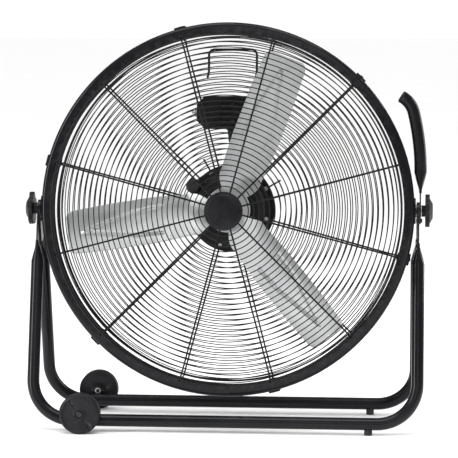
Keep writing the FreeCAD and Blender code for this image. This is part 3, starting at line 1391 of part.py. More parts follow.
save("motor_bolts", on_drum(group(around_fan_axis(motor_bolt(), MOUNT_COUNT, MOTOR_BOLT_DEG))))
save("run_capacitor", on_drum(turned(run_capacitor(), Y_AXIS, -CAPACITOR_DEG)))
save("capacitor_clip", on_drum(turned(capacitor_clip(), Y_AXIS, -CAPACITOR_DEG)))
save("mount_ring", on_drum(mount_ring()))
save("mount_screws", on_drum(group(around_fan_axis(mount_screw(), MOUNT_COUNT, MOUNT_DEG))))
save("mount_nuts", on_drum(group(around_fan_axis(mount_nut(), MOUNT_COUNT, MOUNT_DEG))))
save("control_box", on_drum(control_box()))
save("box_lid", on_drum(box_lid()))
save("lid_screws", on_drum(lid_screws()))
save("box_strap", on_drum(box_strap()))
save("strap_bolts", on_drum(strap_bolts()))
save("speed_switch", on_drum(speed_switch()))
save("speed_dial", on_drum(speed_dial()))
save("lead_gland", on_drum(box_gland(MOTOR_GLAND_X, LEAD_DIAMETER / 2 + FIT_GAP)))
save("mains_gland", on_drum(box_gland(MAINS_GLAND_X, LEAD_DIAMETER / 2 + FIT_GAP)))
save("motor_gland", on_drum(motor_gland()))
save("motor_lead", on_drum(motor_lead()))
save("grab_handle", on_drum(grab_handle()))
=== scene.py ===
import json
import math

import bpy
from mathutils import Matrix, Vector


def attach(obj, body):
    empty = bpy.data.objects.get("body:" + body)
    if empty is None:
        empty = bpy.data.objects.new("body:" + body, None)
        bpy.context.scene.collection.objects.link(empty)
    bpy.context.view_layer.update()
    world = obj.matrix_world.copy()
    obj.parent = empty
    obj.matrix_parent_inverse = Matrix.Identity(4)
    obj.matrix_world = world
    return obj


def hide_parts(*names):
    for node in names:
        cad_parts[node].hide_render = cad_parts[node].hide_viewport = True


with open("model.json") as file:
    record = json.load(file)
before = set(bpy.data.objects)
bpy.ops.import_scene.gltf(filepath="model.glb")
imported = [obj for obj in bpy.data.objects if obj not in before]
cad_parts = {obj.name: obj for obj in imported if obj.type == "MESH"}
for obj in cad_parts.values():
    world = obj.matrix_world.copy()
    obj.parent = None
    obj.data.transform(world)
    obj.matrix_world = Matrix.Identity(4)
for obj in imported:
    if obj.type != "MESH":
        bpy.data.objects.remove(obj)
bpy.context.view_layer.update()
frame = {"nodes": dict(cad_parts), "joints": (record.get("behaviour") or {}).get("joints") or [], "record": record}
RECORD = frame["record"]
JOINTS = {joint["name"]: joint for joint in frame["joints"]}

# The drum is modelled about its own centre, with the fan axis along Y, in metres, and is
# then turned up by the rest tilt and lifted to the pivot, as the frame's joints give them.
PIVOT = Vector(JOINTS["head_tilt"]["pos_m"])
FAN_AXIS = Vector(JOINTS["blade_spin"]["axis"])
REST_TILT = math.atan2(-FAN_AXIS.z, FAN_AXIS.y)
DRUM_PLACE = Matrix.Translation(PIVOT) @ Matrix.Rotation(-REST_TILT, 4, "X")
SLOT_OF = {part["node"]: part["material_slot"] for part in RECORD["subparts"]}
BODY_OF = {node: body for body, nodes in RECORD["behaviour"]["bodies"].items() for node in nodes}

# ---- guard wires ----
GUARD_WALL_RADIUS = 0.3995
GUARD_WALL_DEPTH = 0.066
GUARD_CORNER = 0.026
GUARD_DOME = math.radians(4.5)
RING_PITCH = 0.012
RING_WIRE = 0.0024
SPOKE_WIRE = 0.004
RIM_WIRE = 0.005
RIM_WIRE_Y = 0.0255
WELD_SINK = 0.0004
LAST_RING_DEPTH = 0.036
FRONT_FIRST_RING = 0.0555
REAR_FIRST_RING = 0.1044
FRONT_SPOKE_END = 0.026
REAR_SPOKE_END = 0.093
SPOKE_COUNT = 12
SPOKE_START = math.radians(15.0)
BAR_START = 0.0995
BAR_END = 0.132
BAR_COUNT = 4
BAR_ANGLE = math.radians(30.0)
RING_STEPS = 160
WIRE_SIDES = 8
WIRE_SMOOTH = math.radians(60.0)
CORNER_STEPS = 8

# ---- blades ----
BLADE_COUNT = 3
BLADE_START = math.radians(69.0)
BLADE_TIP = 0.372
BLADE_THICK = 0.0016
BLADE_PLANE = -0.004
BLADE_DISC = 0.052
SHAFT_RADIUS = 0.008
BLADE_CAMBER = 0.07
# each station: share of the tip radius, chord in metres, pitch in degrees
CHORD = 1
PITCH = 2
BLADE_STATIONS = [(0.11, 0.058, 8.0), (0.23, 0.104, 27.0), (0.45, 0.118, 29.0), (0.72, 0.114, 25.0),
                  (1.0, 0.103, 20.0)]
BLADE_ROOT_END = 0.2
BLADE_SMOOTH = math.radians(40.0)
DISC_STEP = 0.001
DISC_STEP_INNER = 0.036
DISC_STEP_OUTER = 0.040
DISC_SLANT = 0.001
BLADE_ROWS = 100
BLADE_COLUMNS = 40
RIB_HEIGHT = 0.0030
RIB_WIDTH = 0.0055
RIB_APEX = (0.335, 0.001)
RIB_KNEE = (0.210, 0.030)
RIB_END = (0.150, 0.034)
TIP_ROUNDING = 0.016
TIP_FADE = 12
SPIN_STEPS = 96

# ---- lead from the control box to the motor, about the drum's centre ----
LEAD_DIAMETER = 0.007
LEAD_ROUTE = [(-0.005, 0.141, 0.1545), (-0.003, 0.147, 0.127), (-0.004, 0.149, 0.100),
              (-0.005, 0.143, 0.074), (-0.005, 0.128, 0.053), (-0.005, 0.1125, 0.0478)]

# ---- width of the rounded edges on the pieces that keep their CAD shape ----
ROUNDED = {"control_box": 0.0016, "box_lid": 0.0007, "tilt_knob_right": 0.0012, "tilt_knob_left": 0.0012,
           "badge_cap": 0.0005, "guard_clips": 0.0006, "front_wheel": 0.0012, "rear_wheel": 0.0012,
           "motor_front_shell": 0.0012, "motor_rear_shell": 0.0012, "speed_dial": 0.0007,
           "wheel_brackets": 0.0006, "feet": 0.0008, "handle_cap": 0.0006, "axle_nuts": 0.0004,
           "mount_nuts": 0.0004, "box_strap": 0.0004, "badge_plate": 0.0003, "mains_gland": 0.0004,
           "lead_gland": 0.0004, "mount_ring": 0.0004, "clip_screws": 0.0003, "blade_hub": 0.0006,
           "clamp_washers": 0.0003, "lid_screws": 0.0004}
SMOOTH_ANGLE = math.radians(32.0)
FLAT_ANGLE = math.radians(0.6)
EDGE_ANGLE = math.radians(35.0)
EDGE_SEGMENTS = 3
MERGE_DISTANCE = 0.00001


# ---- small tools for working on one piece ----

def make_active(piece):
    bpy.ops.object.select_all(action="DESELECT")
    piece.select_set(True)
    bpy.context.view_layer.objects.active = piece


def start_edit(piece):
    make_active(piece)
    bpy.ops.object.mode_set(mode="EDIT")
    bpy.ops.mesh.select_all(action="SELECT")


def end_edit():
    bpy.ops.object.mode_set(mode="OBJECT")


def apply_modifier(piece, kind, **settings):
    make_active(piece)
    modifier = piece.modifiers.new(kind.title(), kind)
    for name, value in settings.items():
        setattr(modifier, name, value)
    bpy.ops.object.modifier_apply(modifier=modifier.name)


def smooth(piece, angle=SMOOTH_ANGLE):
    make_active(piece)
    bpy.ops.object.shade_smooth_by_angle(angle=angle)


def close_up(piece):
    """Merge doubled points, close open ends and turn every face outwards."""
    start_edit(piece)
    bpy.ops.mesh.remove_doubles(threshold=MERGE_DISTANCE)
    bpy.ops.mesh.select_all(action="SELECT")
    bpy.ops.mesh.fill_holes(sides=0)
    bpy.ops.mesh.select_all(action="SELECT")
    bpy.ops.mesh.normals_make_consistent(inside=False)
    end_edit()


def copies_round_fan(piece, count, start):
    """Turn a piece drawn on +X to the start angle, and copy it round the fan axis."""
    pieces = [piece]
    for k in range(1, count):
        copy = piece.copy()
        copy.data = piece.data.copy()
        bpy.context.collection.objects.link(copy)
        pieces.append(copy)
    for k, copy in enumerate(pieces):
        angle = start + 2 * math.pi * k / count
        copy.data.transform(Matrix.Rotation(-angle, 4, "Y"))
    return pieces


def joined(pieces, name):
    bpy.ops.object.select_all(action="DESELECT")
    for piece in pieces:
        piece.select_set(True)
    bpy.context.view_layer.objects.active = pieces[0]
    bpy.ops.object.join()
    pieces[0].name = name
    return pieces[0]


def stand_for(piece, node, material):
    """Put a finished piece on the body of the CAD node that it stands for."""
    piece.data.materials.clear()
    piece.data.materials.append(material)
    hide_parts(node)
    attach(piece, BODY_OF[node])


# ---- guards ----

def dome_depth(radius):
    start_radius = GUARD_WALL_RADIUS - GUARD_CORNER * (1 - math.sin(GUARD_DOME))
    start_depth = GUARD_WALL_DEPTH + GUARD_CORNER * math.cos(GUARD_DOME)
    return start_depth + (start_radius - radius) * math.tan(GUARD_DOME)


def ring_places(first_radius):
    """Centre (radius, depth) of each ring, spaced along the spoke's inner side."""
    inset = (SPOKE_WIRE + RING_WIRE) / 2 - WELD_SINK
    dome_end = GUARD_WALL_RADIUS - GUARD_CORNER * (1 - math.sin(GUARD_DOME))
    dome_length = (dome_end - FRONT_FIRST_RING) / math.cos(GUARD_DOME)
    full_turn = math.pi / 2 - GUARD_DOME
    centre = GUARD_WALL_RADIUS - GUARD_CORNER
    places = []
    step = 0.0
    while True:
        if step <= dome_length:
            radius = FRONT_FIRST_RING + step * math.cos(GUARD_DOME)
            depth = dome_depth(radius)
            way = (-math.sin(GUARD_DOME), -math.cos(GUARD_DOME))
        elif (step - dome_length) / GUARD_CORNER <= full_turn:
            angle = full_turn - (step - dome_length) / GUARD_CORNER
            radius = centre + GUARD_CORNER * math.cos(angle)
            depth = GUARD_WALL_DEPTH + GUARD_CORNER * math.sin(angle)
            way = (-math.cos(angle), -math.sin(angle))
        else:
            radius = GUARD_WALL_RADIUS
            depth = GUARD_WALL_DEPTH - (step - dome_length - full_turn * GUARD_CORNER)
            way = (-1.0, 0.0)
        if depth < LAST_RING_DEPTH:
            return places
        if radius >= first_radius:
            places.append((radius + inset * way[0], depth + inset * way[1]))
        step += RING_PITCH


def guard_rings(first_radius):
    """All rings and the rim wire: wire sections spun together round the fan axis."""
    sections = [(radius, depth, RING_WIRE) for radius, depth in ring_places(first_radius)]
    rim_radius = GUARD_WALL_RADIUS + (SPOKE_WIRE + RIM_WIRE) / 2 - WELD_SINK
    sections.append((rim_radius, RIM_WIRE_Y, RIM_WIRE))
    radius, depth, wire = sections[0]
    bpy.ops.mesh.primitive_circle_add(vertices=WIRE_SIDES, radius=wire / 2, location=(0, 0, 0))
    rings = bpy.context.object
    rings.data.transform(Matrix.Translation((radius, -depth, 0)))
    start_edit(rings)
    for radius, depth, wire in sections[1:]:
        bpy.ops.mesh.primitive_circle_add(vertices=WIRE_SIDES, radius=wire / 2,
                                          location=(radius, -depth, 0))
    bpy.ops.mesh.select_all(action="SELECT")
    bpy.ops.mesh.spin(steps=RING_STEPS, angle=2 * math.pi, center=(0, 0, 0), axis=(0, 1, 0))
    end_edit()
    return rings


def guard_spoke(end_radius):
    """One bent spoke: down the wall, round the corner and in along the dome."""
    tail = SPOKE_WIRE / 2 - RIM_WIRE_Y
    bpy.ops.mesh.primitive_circle_add(vertices=WIRE_SIDES, radius=SPOKE_WIRE / 2, location=(0, 0, 0),
                                      rotation=(math.pi / 2, 0, 0))
    spoke = bpy.context.object
    bpy.ops.object.transform_apply(location=False, rotation=True, scale=False)
    spoke.data.transform(Matrix.Translation((GUARD_WALL_RADIUS, tail, 0)))
    start_edit(spoke)
    bpy.ops.mesh.extrude_region_move(
        TRANSFORM_OT_translate={"value": (0, -GUARD_WALL_DEPTH - tail, 0)})
    centre = (GUARD_WALL_RADIUS - GUARD_CORNER, -GUARD_WALL_DEPTH, 0)
    bpy.ops.mesh.spin(steps=CORNER_STEPS, angle=-(math.pi / 2 - GUARD_DOME), center=centre,
                      axis=(0, 0, 1))
    run = GUARD_WALL_RADIUS - GUARD_CORNER * (1 - math.sin(GUARD_DOME)) - end_radius
    bpy.ops.mesh.extrude_region_move(
        TRANSFORM_OT_translate={"value": (-run, -run * math.tan(GUARD_DOME), 0)})
    end_edit()
    close_up(spoke)
    return spoke


def stiffening_bar():
    """Short wire beside a motor screw, lying over the first rings of the rear guard."""
    start = Vector((BAR_START, -dome_depth(BAR_START), 0))
    end = Vector((BAR_END, -dome_depth(BAR_END), 0))
    bpy.ops.mesh.primitive_circle_add(vertices=WIRE_SIDES, radius=SPOKE_WIRE / 2, location=(0, 0, 0),
                                      rotation=(0, math.pi / 2, 0))
    bar = bpy.context.object
    bpy.ops.object.transform_apply(location=False, rotation=True, scale=False)
    bar.data.transform(Matrix.Translation(start))
    start_edit(bar)
    bpy.ops.mesh.extrude_region_move(TRANSFORM_OT_translate={"value": tuple(end - start)})
    end_edit()
    close_up(bar)
    return bar


def guard(name, node, first_radius, spoke_end, at_back, material):
    rings = guard_rings(first_radius)
    close_up(rings)
    wires = [rings] + copies_round_fan(guard_spoke(spoke_end), SPOKE_COUNT, SPOKE_START)
    if at_back:
        wires += copies_round_fan(stiffening_bar(), BAR_COUNT, BAR_ANGLE)
    piece = joined(wires, name)
    if at_back:
        piece.data.transform(Matrix.Scale(-1, 4, Vector((0, 1, 0))))
        start_edit(piece)
        bpy.ops.mesh.normals_make_consistent(inside=False)
        end_edit()
    piece.data.transform(DRUM_PLACE)
    smooth(piece, WIRE_SMOOTH)
    stand_for(piece, node, material)


# ---- blades ----

def between_stations(share, column):
    """Chord or pitch at a share of the tip radius, eased from one station to the next."""
    for before, after in zip(BLADE_STATIONS, BLADE_STATIONS[1:]):
        if share <= after[0]:
            t = (share - before[0]) / (after[0] - before[0])
            t = max(0.0, t)
            if column == CHORD and before[0] < BLADE_ROOT_END:
                t = t * (2 - t)
            return before[column] + t * (after[column] - before[column])
    return BLADE_STATIONS[-1][column]


def distance_to_run(place, start, end):
    place = Vector(place)
    start = Vector(start)
    run = Vector(end) - start
    t = max(0.0, min(1.0, (place - start).dot(run) / run.dot(run)))
    return (place - start - run * t).length


def rib_rise(radius, along):
    """Height of the pressed rib: an arrowhead whose two legs run in towards the hub."""
    nearest = min(distance_to_run((radius, side * along), a, b) for side in (1, -1)
                  for a, b in ((RIB_APEX, RIB_KNEE), (RIB_KNEE, RIB_END)))
    if nearest > RIB_WIDTH:
        return 0.0
    return RIB_HEIGHT * (0.5 + 0.5 * math.cos(math.pi * nearest / RIB_WIDTH))


def blade_point(u, v):
    """Point of the blade's middle surface: u runs from root to tip, v across the chord, both 0 to 1."""
    root = BLADE_STATIONS[0][0]
    share = root + (1.0 - root) * u
    chord = between_stations(share, CHORD)
    pitch = math.radians(between_stations(share, PITCH))
    along = (v - 0.5) * chord
    # round the two outer corners
    radius = share * BLADE_TIP
    from_side = chord / 2 - abs(along)
    if from_side < TIP_ROUNDING:
        drop = TIP_ROUNDING - math.sqrt(TIP_ROUNDING ** 2 - (TIP_ROUNDING - from_side) ** 2)
        radius -= drop * u ** TIP_FADE
    across = chord * BLADE_CAMBER * (0.5 - (2 * along / chord) ** 2) - rib_rise(radius, along)
    return Vector((radius, BLADE_PLANE - along * math.sin(pitch) + across * math.cos(pitch),
                   along * math.cos(pitch) + across * math.sin(pitch)))


def pressed_blade():
    bpy.ops.mesh.primitive_grid_add(x_subdivisions=BLADE_ROWS, y_subdivisions=BLADE_COLUMNS, size=1.0)
    blade = bpy.context.object
    for vertex in blade.data.vertices:
        vertex.co = blade_point(vertex.co.x + 0.5, vertex.co.y + 0.5)
    apply_modifier(blade, "SOLIDIFY", thickness=BLADE_THICK, offset=0.0)
    return blade


def blade_disc():
    """Thin pressed disc with a shallow step, which joins the three blades at the hub."""
    half = BLADE_THICK / 2
    front = -half - DISC_STEP
    back = half - DISC_STEP
    profile = [(SHAFT_RADIUS, -half), (DISC_STEP_INNER, -half), (DISC_STEP_OUTER, front),
               (BLADE_DISC, front), (BLADE_DISC, back), (DISC_STEP_OUTER + DISC_SLANT, back),
               (DISC_STEP_INNER + DISC_SLANT, half), (SHAFT_RADIUS, half)]
    return spun_profile([(r, y + BLADE_PLANE) for r, y in profile])


def spun_profile(points):
    """Closed outline of (radius, y) points spun round the fan axis."""
    bpy.ops.mesh.primitive_circle_add(vertices=len(points), radius=0.01, location=(0, 0, 0))
    piece = bpy.context.object
    for vertex, (radius, y) in zip(piece.data.vertices, points):
        vertex.co = (radius, y, 0)
    start_edit(piece)
    bpy.ops.mesh.spin(steps=SPIN_STEPS, angle=2 * math.pi, center=(0, 0, 0), axis=(0, 1, 0))
    end_edit()
    close_up(piece)
    return piece


def fan_blades(material):
    blades = copies_round_fan(pressed_blade(), BLADE_COUNT, BLADE_START)
    piece = joined([blade_disc()] + blades, "pressed_blades")
    start_edit(piece)
    bpy.ops.mesh.normals_make_consistent(inside=False)
    end_edit()
    piece.data.transform(DRUM_PLACE)
    smooth(piece, BLADE_SMOOTH)
    stand_for(piece, "fan_blade", material)


# ---- the lead from the box to the motor ----

def motor_lead(material):
    curve = bpy.data.curves.new("box_to_motor_lead", "CURVE")
    curve.dimensions = "3D"
    spline = curve.splines.new("NURBS")
    spline.points.add(len(LEAD_ROUTE) - 1)
    for place, target in zip(LEAD_ROUTE, spline.points):
        target.co = (*(DRUM_PLACE @ Vector(place)), 1.0)
    spline.order_u = 3
    spline.use_endpoint_u = True
    curve.bevel_depth = LEAD_DIAMETER / 2
    curve.bevel_resolution = 4
    curve.resolution_u = 12
    curve.materials.append(material)
    lead = bpy.data.objects.new("box_to_motor_lead", curve)
    bpy.context.collection.objects.link(lead)
    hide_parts("motor_lead")
    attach(lead, "drum")


# ---- pieces that keep their CAD shape, with merged and rounded edges ----

def finished_copy(node, material):
    cad = frame["nodes"][node]
    piece = cad.copy()
    piece.data = cad.data.copy()
    piece.parent = None
    for key in list(piece.keys()):
        del piece[key]
    piece.name = node + "_finish"
    bpy.context.collection.objects.link(piece)
    make_active(piece)
    bpy.ops.mesh.customdata_custom_splitnormals_clear()
    start_edit(piece)
    bpy.ops.mesh.remove_doubles(threshold=MERGE_DISTANCE)
    if node in ROUNDED:
        bpy.ops.mesh.dissolve_limited(angle_limit=FLAT_ANGLE)
    end_edit()
    if node in ROUNDED:
        apply_modifier(piece, "BEVEL", width=ROUNDED[node], segments=EDGE_SEGMENTS,
                       limit_method="ANGLE", angle_limit=EDGE_ANGLE, use_clamp_overlap=True)
    smooth(piece)
    stand_for(piece, node, material)


# ---- shared effects for the materials ----

def new_group(name, inputs, outputs):
    group = bpy.data.node_groups.new(name, "ShaderNodeTree")
    for socket, kind, value in inputs:
        made = group.interface.new_socket(name=socket, in_out="INPUT", socket_type=kind)
        made.default_value = value
    for socket, kind in outputs:
        group.interface.new_socket(name=socket, in_out="OUTPUT", socket_type=kind)
    return group, group.nodes.new("NodeGroupInput"), group.nodes.new("NodeGroupOutput")


def noise(tree, scale, detail=4.0, roughness=0.55):
    node = tree.nodes.new("ShaderNodeTexNoise")
    node.inputs["Detail"].default_value = detail
    node.inputs["Roughness"].default_value = roughness
    if not hasattr(scale, "default_value"):
        node.inputs["Scale"].default_value = scale
    else:
        tree.links.new(scale, node.inputs["Scale"])
    return node


def math_node(tree, operation, first, second):
    node = tree.nodes.new("ShaderNodeMath")
    node.operation = operation
    for socket, value in zip(node.inputs, (first, second)):
        if hasattr(value, "default_value"):
            tree.links.new(value, socket)
        else:
            socket.default_value = value
    return node.outputs[0]


def ramp(tree, value, low, high):
    node = tree.nodes.new("ShaderNodeMapRange")
    node.interpolation_type = "SMOOTHSTEP"
    node.inputs["From Min"].default_value = low
    node.inputs["From Max"].default_value = high
    tree.links.new(value, node.inputs["Value"])
    return node.outputs["Result"]


def object_place(tree):
    return tree.nodes.new("ShaderNodeTexCoord").outputs["Object"]


def patchy_group():
    """Slow change over the surface, from 0 to 1, for colour and gloss."""
    group, given, result = new_group("patchy", [("Scale", "NodeSocketFloat", 9.0)],
                                     [("Mask", "NodeSocketFloat")])
    place = object_place(group)
    broad = noise(group, given.outputs["Scale"], 3.0)
    group.links.new(place, broad.inputs["Vector"])
    group.links.new(ramp(group, broad.outputs["Fac"], 0.35, 0.65), result.inputs["Mask"])
    return group


def grain_group():
    """Fine even grain of a moulding or a powder coat: a height and a small gloss change."""
    group, given, result = new_group("fine_grain", [("Scale", "NodeSocketFloat", 900.0)],
                                     [("Height", "NodeSocketFloat")])
    place = object_place(group)
    fine = noise(group, given.outputs["Scale"], 2.0)
    group.links.new(place, fine.inputs["Vector"])
    group.links.new(fine.outputs["Fac"], result.inputs["Height"])
    return group


def wear_group():
    """Rubbed outer edges, broken up by noise."""
    group, given, result = new_group("edge_wear", [("Amount", "NodeSocketFloat", 0.5),
                                                   ("Scale", "NodeSocketFloat", 60.0)],
                                     [("Mask", "NodeSocketFloat")])
    geometry = group.nodes.new("ShaderNodeNewGeometry")
    edges = ramp(group, geometry.outputs["Pointiness"], 0.515, 0.60)
    place = object_place(group)
    broken = noise(group, given.outputs["Scale"], 6.0)
    group.links.new(place, broken.inputs["Vector"])
    patches = ramp(group, broken.outputs["Fac"], 0.42, 0.66)
    both = math_node(group, "MULTIPLY", edges, patches)
    group.links.new(math_node(group, "MULTIPLY", both, given.outputs["Amount"]),
                    result.inputs["Mask"])
    return group


def dust_group():
    """Light dust that settles where a surface looks upwards."""
    group, given, result = new_group("settled_dust", [("Amount", "NodeSocketFloat", 0.2)],
                                     [("Mask", "NodeSocketFloat")])
    geometry = group.nodes.new("ShaderNodeNewGeometry")
    parts = group.nodes.new("ShaderNodeSeparateXYZ")
    group.links.new(geometry.outputs["Normal"], parts.inputs["Vector"])
    upward = ramp(group, parts.outputs["Z"], 0.35, 1.0)
    place = object_place(group)
    cloudy = noise(group, 28.0, 5.0)
    group.links.new(place, cloudy.inputs["Vector"])
    both = math_node(group, "MULTIPLY", upward, ramp(group, cloudy.outputs["Fac"], 0.35, 0.75))
    group.links.new(math_node(group, "MULTIPLY", both, given.outputs["Amount"]),
                    result.inputs["Mask"])
    return group


def streak_group():
    """Long fine scratches of rolled or brushed metal, drawn along the first axis."""
    group, given, result = new_group("rolled_streaks",
                                     [("Stretch", "NodeSocketVector", (9.0, 600.0, 600.0))],
                                     [("Height", "NodeSocketFloat"), ("Mask", "NodeSocketFloat")])
    place = object_place(group)
    mapping = group.nodes.new("ShaderNodeMapping")
    group.links.new(place, mapping.inputs["Vector"])
    group.links.new(given.outputs["Stretch"], mapping.inputs["Scale"])
    lines = noise(group, 1.0, 5.0, 0.65)
    group.links.new(mapping.outputs["Vector"], lines.inputs["Vector"])
    group.links.new(lines.outputs["Fac"], result.inputs["Height"])
    group.links.new(ramp(group, lines.outputs["Fac"], 0.35, 0.7), result.inputs["Mask"])
    return group


GROUPS = {"patchy": patchy_group(), "grain": grain_group(), "wear": wear_group(),
          "dust": dust_group(), "streaks": streak_group()}


class Finish:
    """One material: a Principled shader, and the effects that are laid on it in turn."""

    def __init__(self, name, colour, roughness, metallic=0.0, specular=0.5, coat=0.0):
        self.material = bpy.data.materials.new(name)
        self.material.use_nodes = True
        self.tree = self.material.node_tree
        self.shader = self.tree.nodes["Principled BSDF"]
        self.shader.inputs["Metallic"].default_value = metallic
        self.shader.inputs["Specular IOR Level"].default_value = specular
        self.shader.inputs["Coat Weight"].default_value = coat
        self.shader.inputs["Coat Roughness"].default_value = 0.08
        self.colour = (*colour, 1.0)
        self.roughness = roughness
        self.height = None

    def effect(self, key, output, **values):
        node = self.tree.nodes.new("ShaderNodeGroup")
        node.node_tree = GROUPS[key]
        for name, value in values.items():
            node.inputs[name].default_value = value
        return node.outputs[output]

    def tint(self, mask, colour, strength=1.0):
        """Mix a second colour in where the mask is bright."""
        mix = self.tree.nodes.new("ShaderNodeMix")
        mix.data_type = "RGBA"
        amount = math_node(self.tree, "MULTIPLY", mask, strength)
        self.tree.links.new(amount, mix.inputs["Factor"])
        if isinstance(self.colour, tuple):
            mix.inputs["A"].default_value = self.colour
        else:
            self.tree.links.new(self.colour, mix.inputs["A"])
        mix.inputs["B"].default_value = (*colour, 1.0)
        self.colour = mix.outputs["Result"]

    def roughen(self, mask, amount):
        scaled = math_node(self.tree, "MULTIPLY", mask, amount)
        self.roughness = math_node(self.tree, "ADD", scaled, self.roughness)

    def raise_by(self, height, strength, distance):
        bump = self.tree.nodes.new("ShaderNodeBump")
        bump.inputs["Strength"].default_value = strength
        bump.inputs["Distance"].default_value = distance
        self.tree.links.new(height, bump.inputs["Height"])
        if self.height is not None:
            self.tree.links.new(self.height, bump.inputs["Normal"])
        self.height = bump.outputs["Normal"]

    def done(self):
        if not isinstance(self.colour, tuple):
            self.tree.links.new(self.colour, self.shader.inputs["Base Color"])
        else:
            self.shader.inputs["Base Color"].default_value = self.colour
        if isinstance(self.roughness, float):
            self.shader.inputs["Roughness"].default_value = self.roughness
        else:
            self.tree.links.new(self.roughness, self.shader.inputs["Roughness"])
        if self.height is not None:
            self.tree.links.new(self.height, self.shader.inputs["Normal"])
        return self.material


# ---- materials ----

def black_paint(name, roughness, orange_peel=0.12):
    """Gloss black powder coat: soft orange-peel ripple, rubbed edges and a little dust."""
    paint = Finish(name, (0.0045, 0.0047, 0.006), roughness, specular=0.18, coat=0.05)
    paint.tint(paint.effect("patchy", "Mask", Scale=7.0), (0.008, 0.008, 0.0095))
    paint.tint(paint.effect("wear", "Mask", Amount=0.35, Scale=70.0), (0.06, 0.06, 0.063))
    paint.tint(paint.effect("dust", "Mask", Amount=0.05), (0.12, 0.117, 0.112))
    paint.roughen(paint.effect("patchy", "Mask", Scale=16.0), 0.08)
    paint.roughen(paint.effect("dust", "Mask", Amount=0.5), 0.2)
    paint.raise_by(paint.effect("grain", "Height", Scale=420.0), orange_peel, 0.0004)
    return paint.done()


def dipped_wire():
    wire = Finish("black_dipped_wire", (0.004, 0.004, 0.005), 0.34, specular=0.18)
    wire.tint(wire.effect("patchy", "Mask", Scale=25.0), (0.009, 0.009, 0.010))
    wire.tint(wire.effect("dust", "Mask", Amount=0.12), (0.10, 0.097, 0.092))
    wire.roughen(wire.effect("patchy", "Mask", Scale=60.0), 0.12)
    wire.raise_by(wire.effect("grain", "Height", Scale=700.0), 0.15, 0.0003)
    return wire.done()


def blade_metal():
    """Rolled aluminium sheet with fine streaks, cloudy handling marks and a dusty upper side."""
    sheet = Finish("rolled_blade_sheet", (0.56, 0.57, 0.57), 0.34, metallic=0.95)
    sheet.tint(sheet.effect("patchy", "Mask", Scale=6.0), (0.47, 0.48, 0.485), 0.7)
    sheet.tint(sheet.effect("streaks", "Mask"), (0.68, 0.69, 0.69), 0.35)
    sheet.tint(sheet.effect("dust", "Mask", Amount=0.3), (0.45, 0.44, 0.42))
    sheet.roughen(sheet.effect("patchy", "Mask", Scale=18.0), 0.12)
    sheet.raise_by(sheet.effect("streaks", "Height"), 0.12, 0.0003)
    return sheet.done()


def cast_paint():
    """Semi-gloss enamel over die-cast metal, with the casting's skin just showing."""
    cast = Finish("painted_casting", (0.005, 0.005, 0.006), 0.4, specular=0.2)
    cast.tint(cast.effect("patchy", "Mask", Scale=14.0), (0.010, 0.010, 0.011))
    cast.tint(cast.effect("wear", "Mask", Amount=0.5, Scale=90.0), (0.12, 0.12, 0.12))
    cast.tint(cast.effect("dust", "Mask", Amount=0.15), (0.12, 0.117, 0.112))
    cast.roughen(cast.effect("patchy", "Mask", Scale=40.0), 0.15)
    cast.raise_by(cast.effect("grain", "Height", Scale=260.0), 0.45, 0.0006)
    return cast.done()


def moulded_black(name, colour, roughness, grain, worn):
    """Black or charcoal moulding with spark-eroded grain and scuffed edges."""
    plastic = Finish(name, colour, roughness, specular=0.16)
    lighter = tuple(1.5 * part + 0.002 for part in colour)
    plastic.tint(plastic.effect("patchy", "Mask", Scale=22.0), lighter)
    plastic.tint(plastic.effect("wear", "Mask", Amount=worn, Scale=120.0), (0.08, 0.08, 0.08))
    plastic.tint(plastic.effect("dust", "Mask", Amount=0.08), (0.12, 0.117, 0.112))
    plastic.roughen(plastic.effect("patchy", "Mask", Scale=50.0), 0.1)
    plastic.raise_by(plastic.effect("grain", "Height", Scale=1400.0), grain, 0.0003)
    return plastic.done()


def grey_moulding():
    plastic = Finish("grey_dial_moulding", (0.30, 0.31, 0.32), 0.42)
    plastic.tint(plastic.effect("patchy", "Mask", Scale=80.0), (0.36, 0.37, 0.38))
    plastic.tint(plastic.effect("dust", "Mask", Amount=0.2), (0.2, 0.19, 0.18))
    plastic.raise_by(plastic.effect("grain", "Height", Scale=1500.0), 0.2, 0.0003)
    return plastic.done()


def rubber():
    soft = Finish("black_rubber", (0.012, 0.012, 0.012), 0.7, specular=0.3)
    soft.tint(soft.effect("patchy", "Mask", Scale=60.0), (0.022, 0.022, 0.022))
    soft.tint(soft.effect("wear", "Mask", Amount=0.6, Scale=150.0), (0.10, 0.10, 0.10))
    soft.roughen(soft.effect("patchy", "Mask", Scale=90.0), 0.12)
    soft.raise_by(soft.effect("grain", "Height", Scale=1100.0), 0.35, 0.0003)
    return soft.done()


def bright_metal(name, colour, roughness, streaks=0.2):
    """Plated or ground steel with turning marks and dull patches."""
    metal = Finish(name, colour, roughness, metallic=1.0)
    duller = tuple(0.72 * part for part in colour)
    metal.tint(metal.effect("patchy", "Mask", Scale=70.0), duller, 0.8)
    metal.roughen(metal.effect("patchy", "Mask", Scale=110.0), 0.16)
    metal.raise_by(metal.effect("streaks", "Height", Stretch=(900.0, 60.0, 900.0)), streaks, 0.0002)
    return metal.done()


def varnished_copper():
    copper = Finish("varnished_copper", (0.50, 0.20, 0.08), 0.3, metallic=0.9, coat=0.5)
    copper.tint(copper.effect("streaks", "Mask", Stretch=(600.0, 600.0, 40.0)), (0.28, 0.10, 0.04), 0.8)
    copper.raise_by(copper.effect("streaks", "Height", Stretch=(600.0, 600.0, 40.0)), 0.5, 0.0008)
    return copper.done()


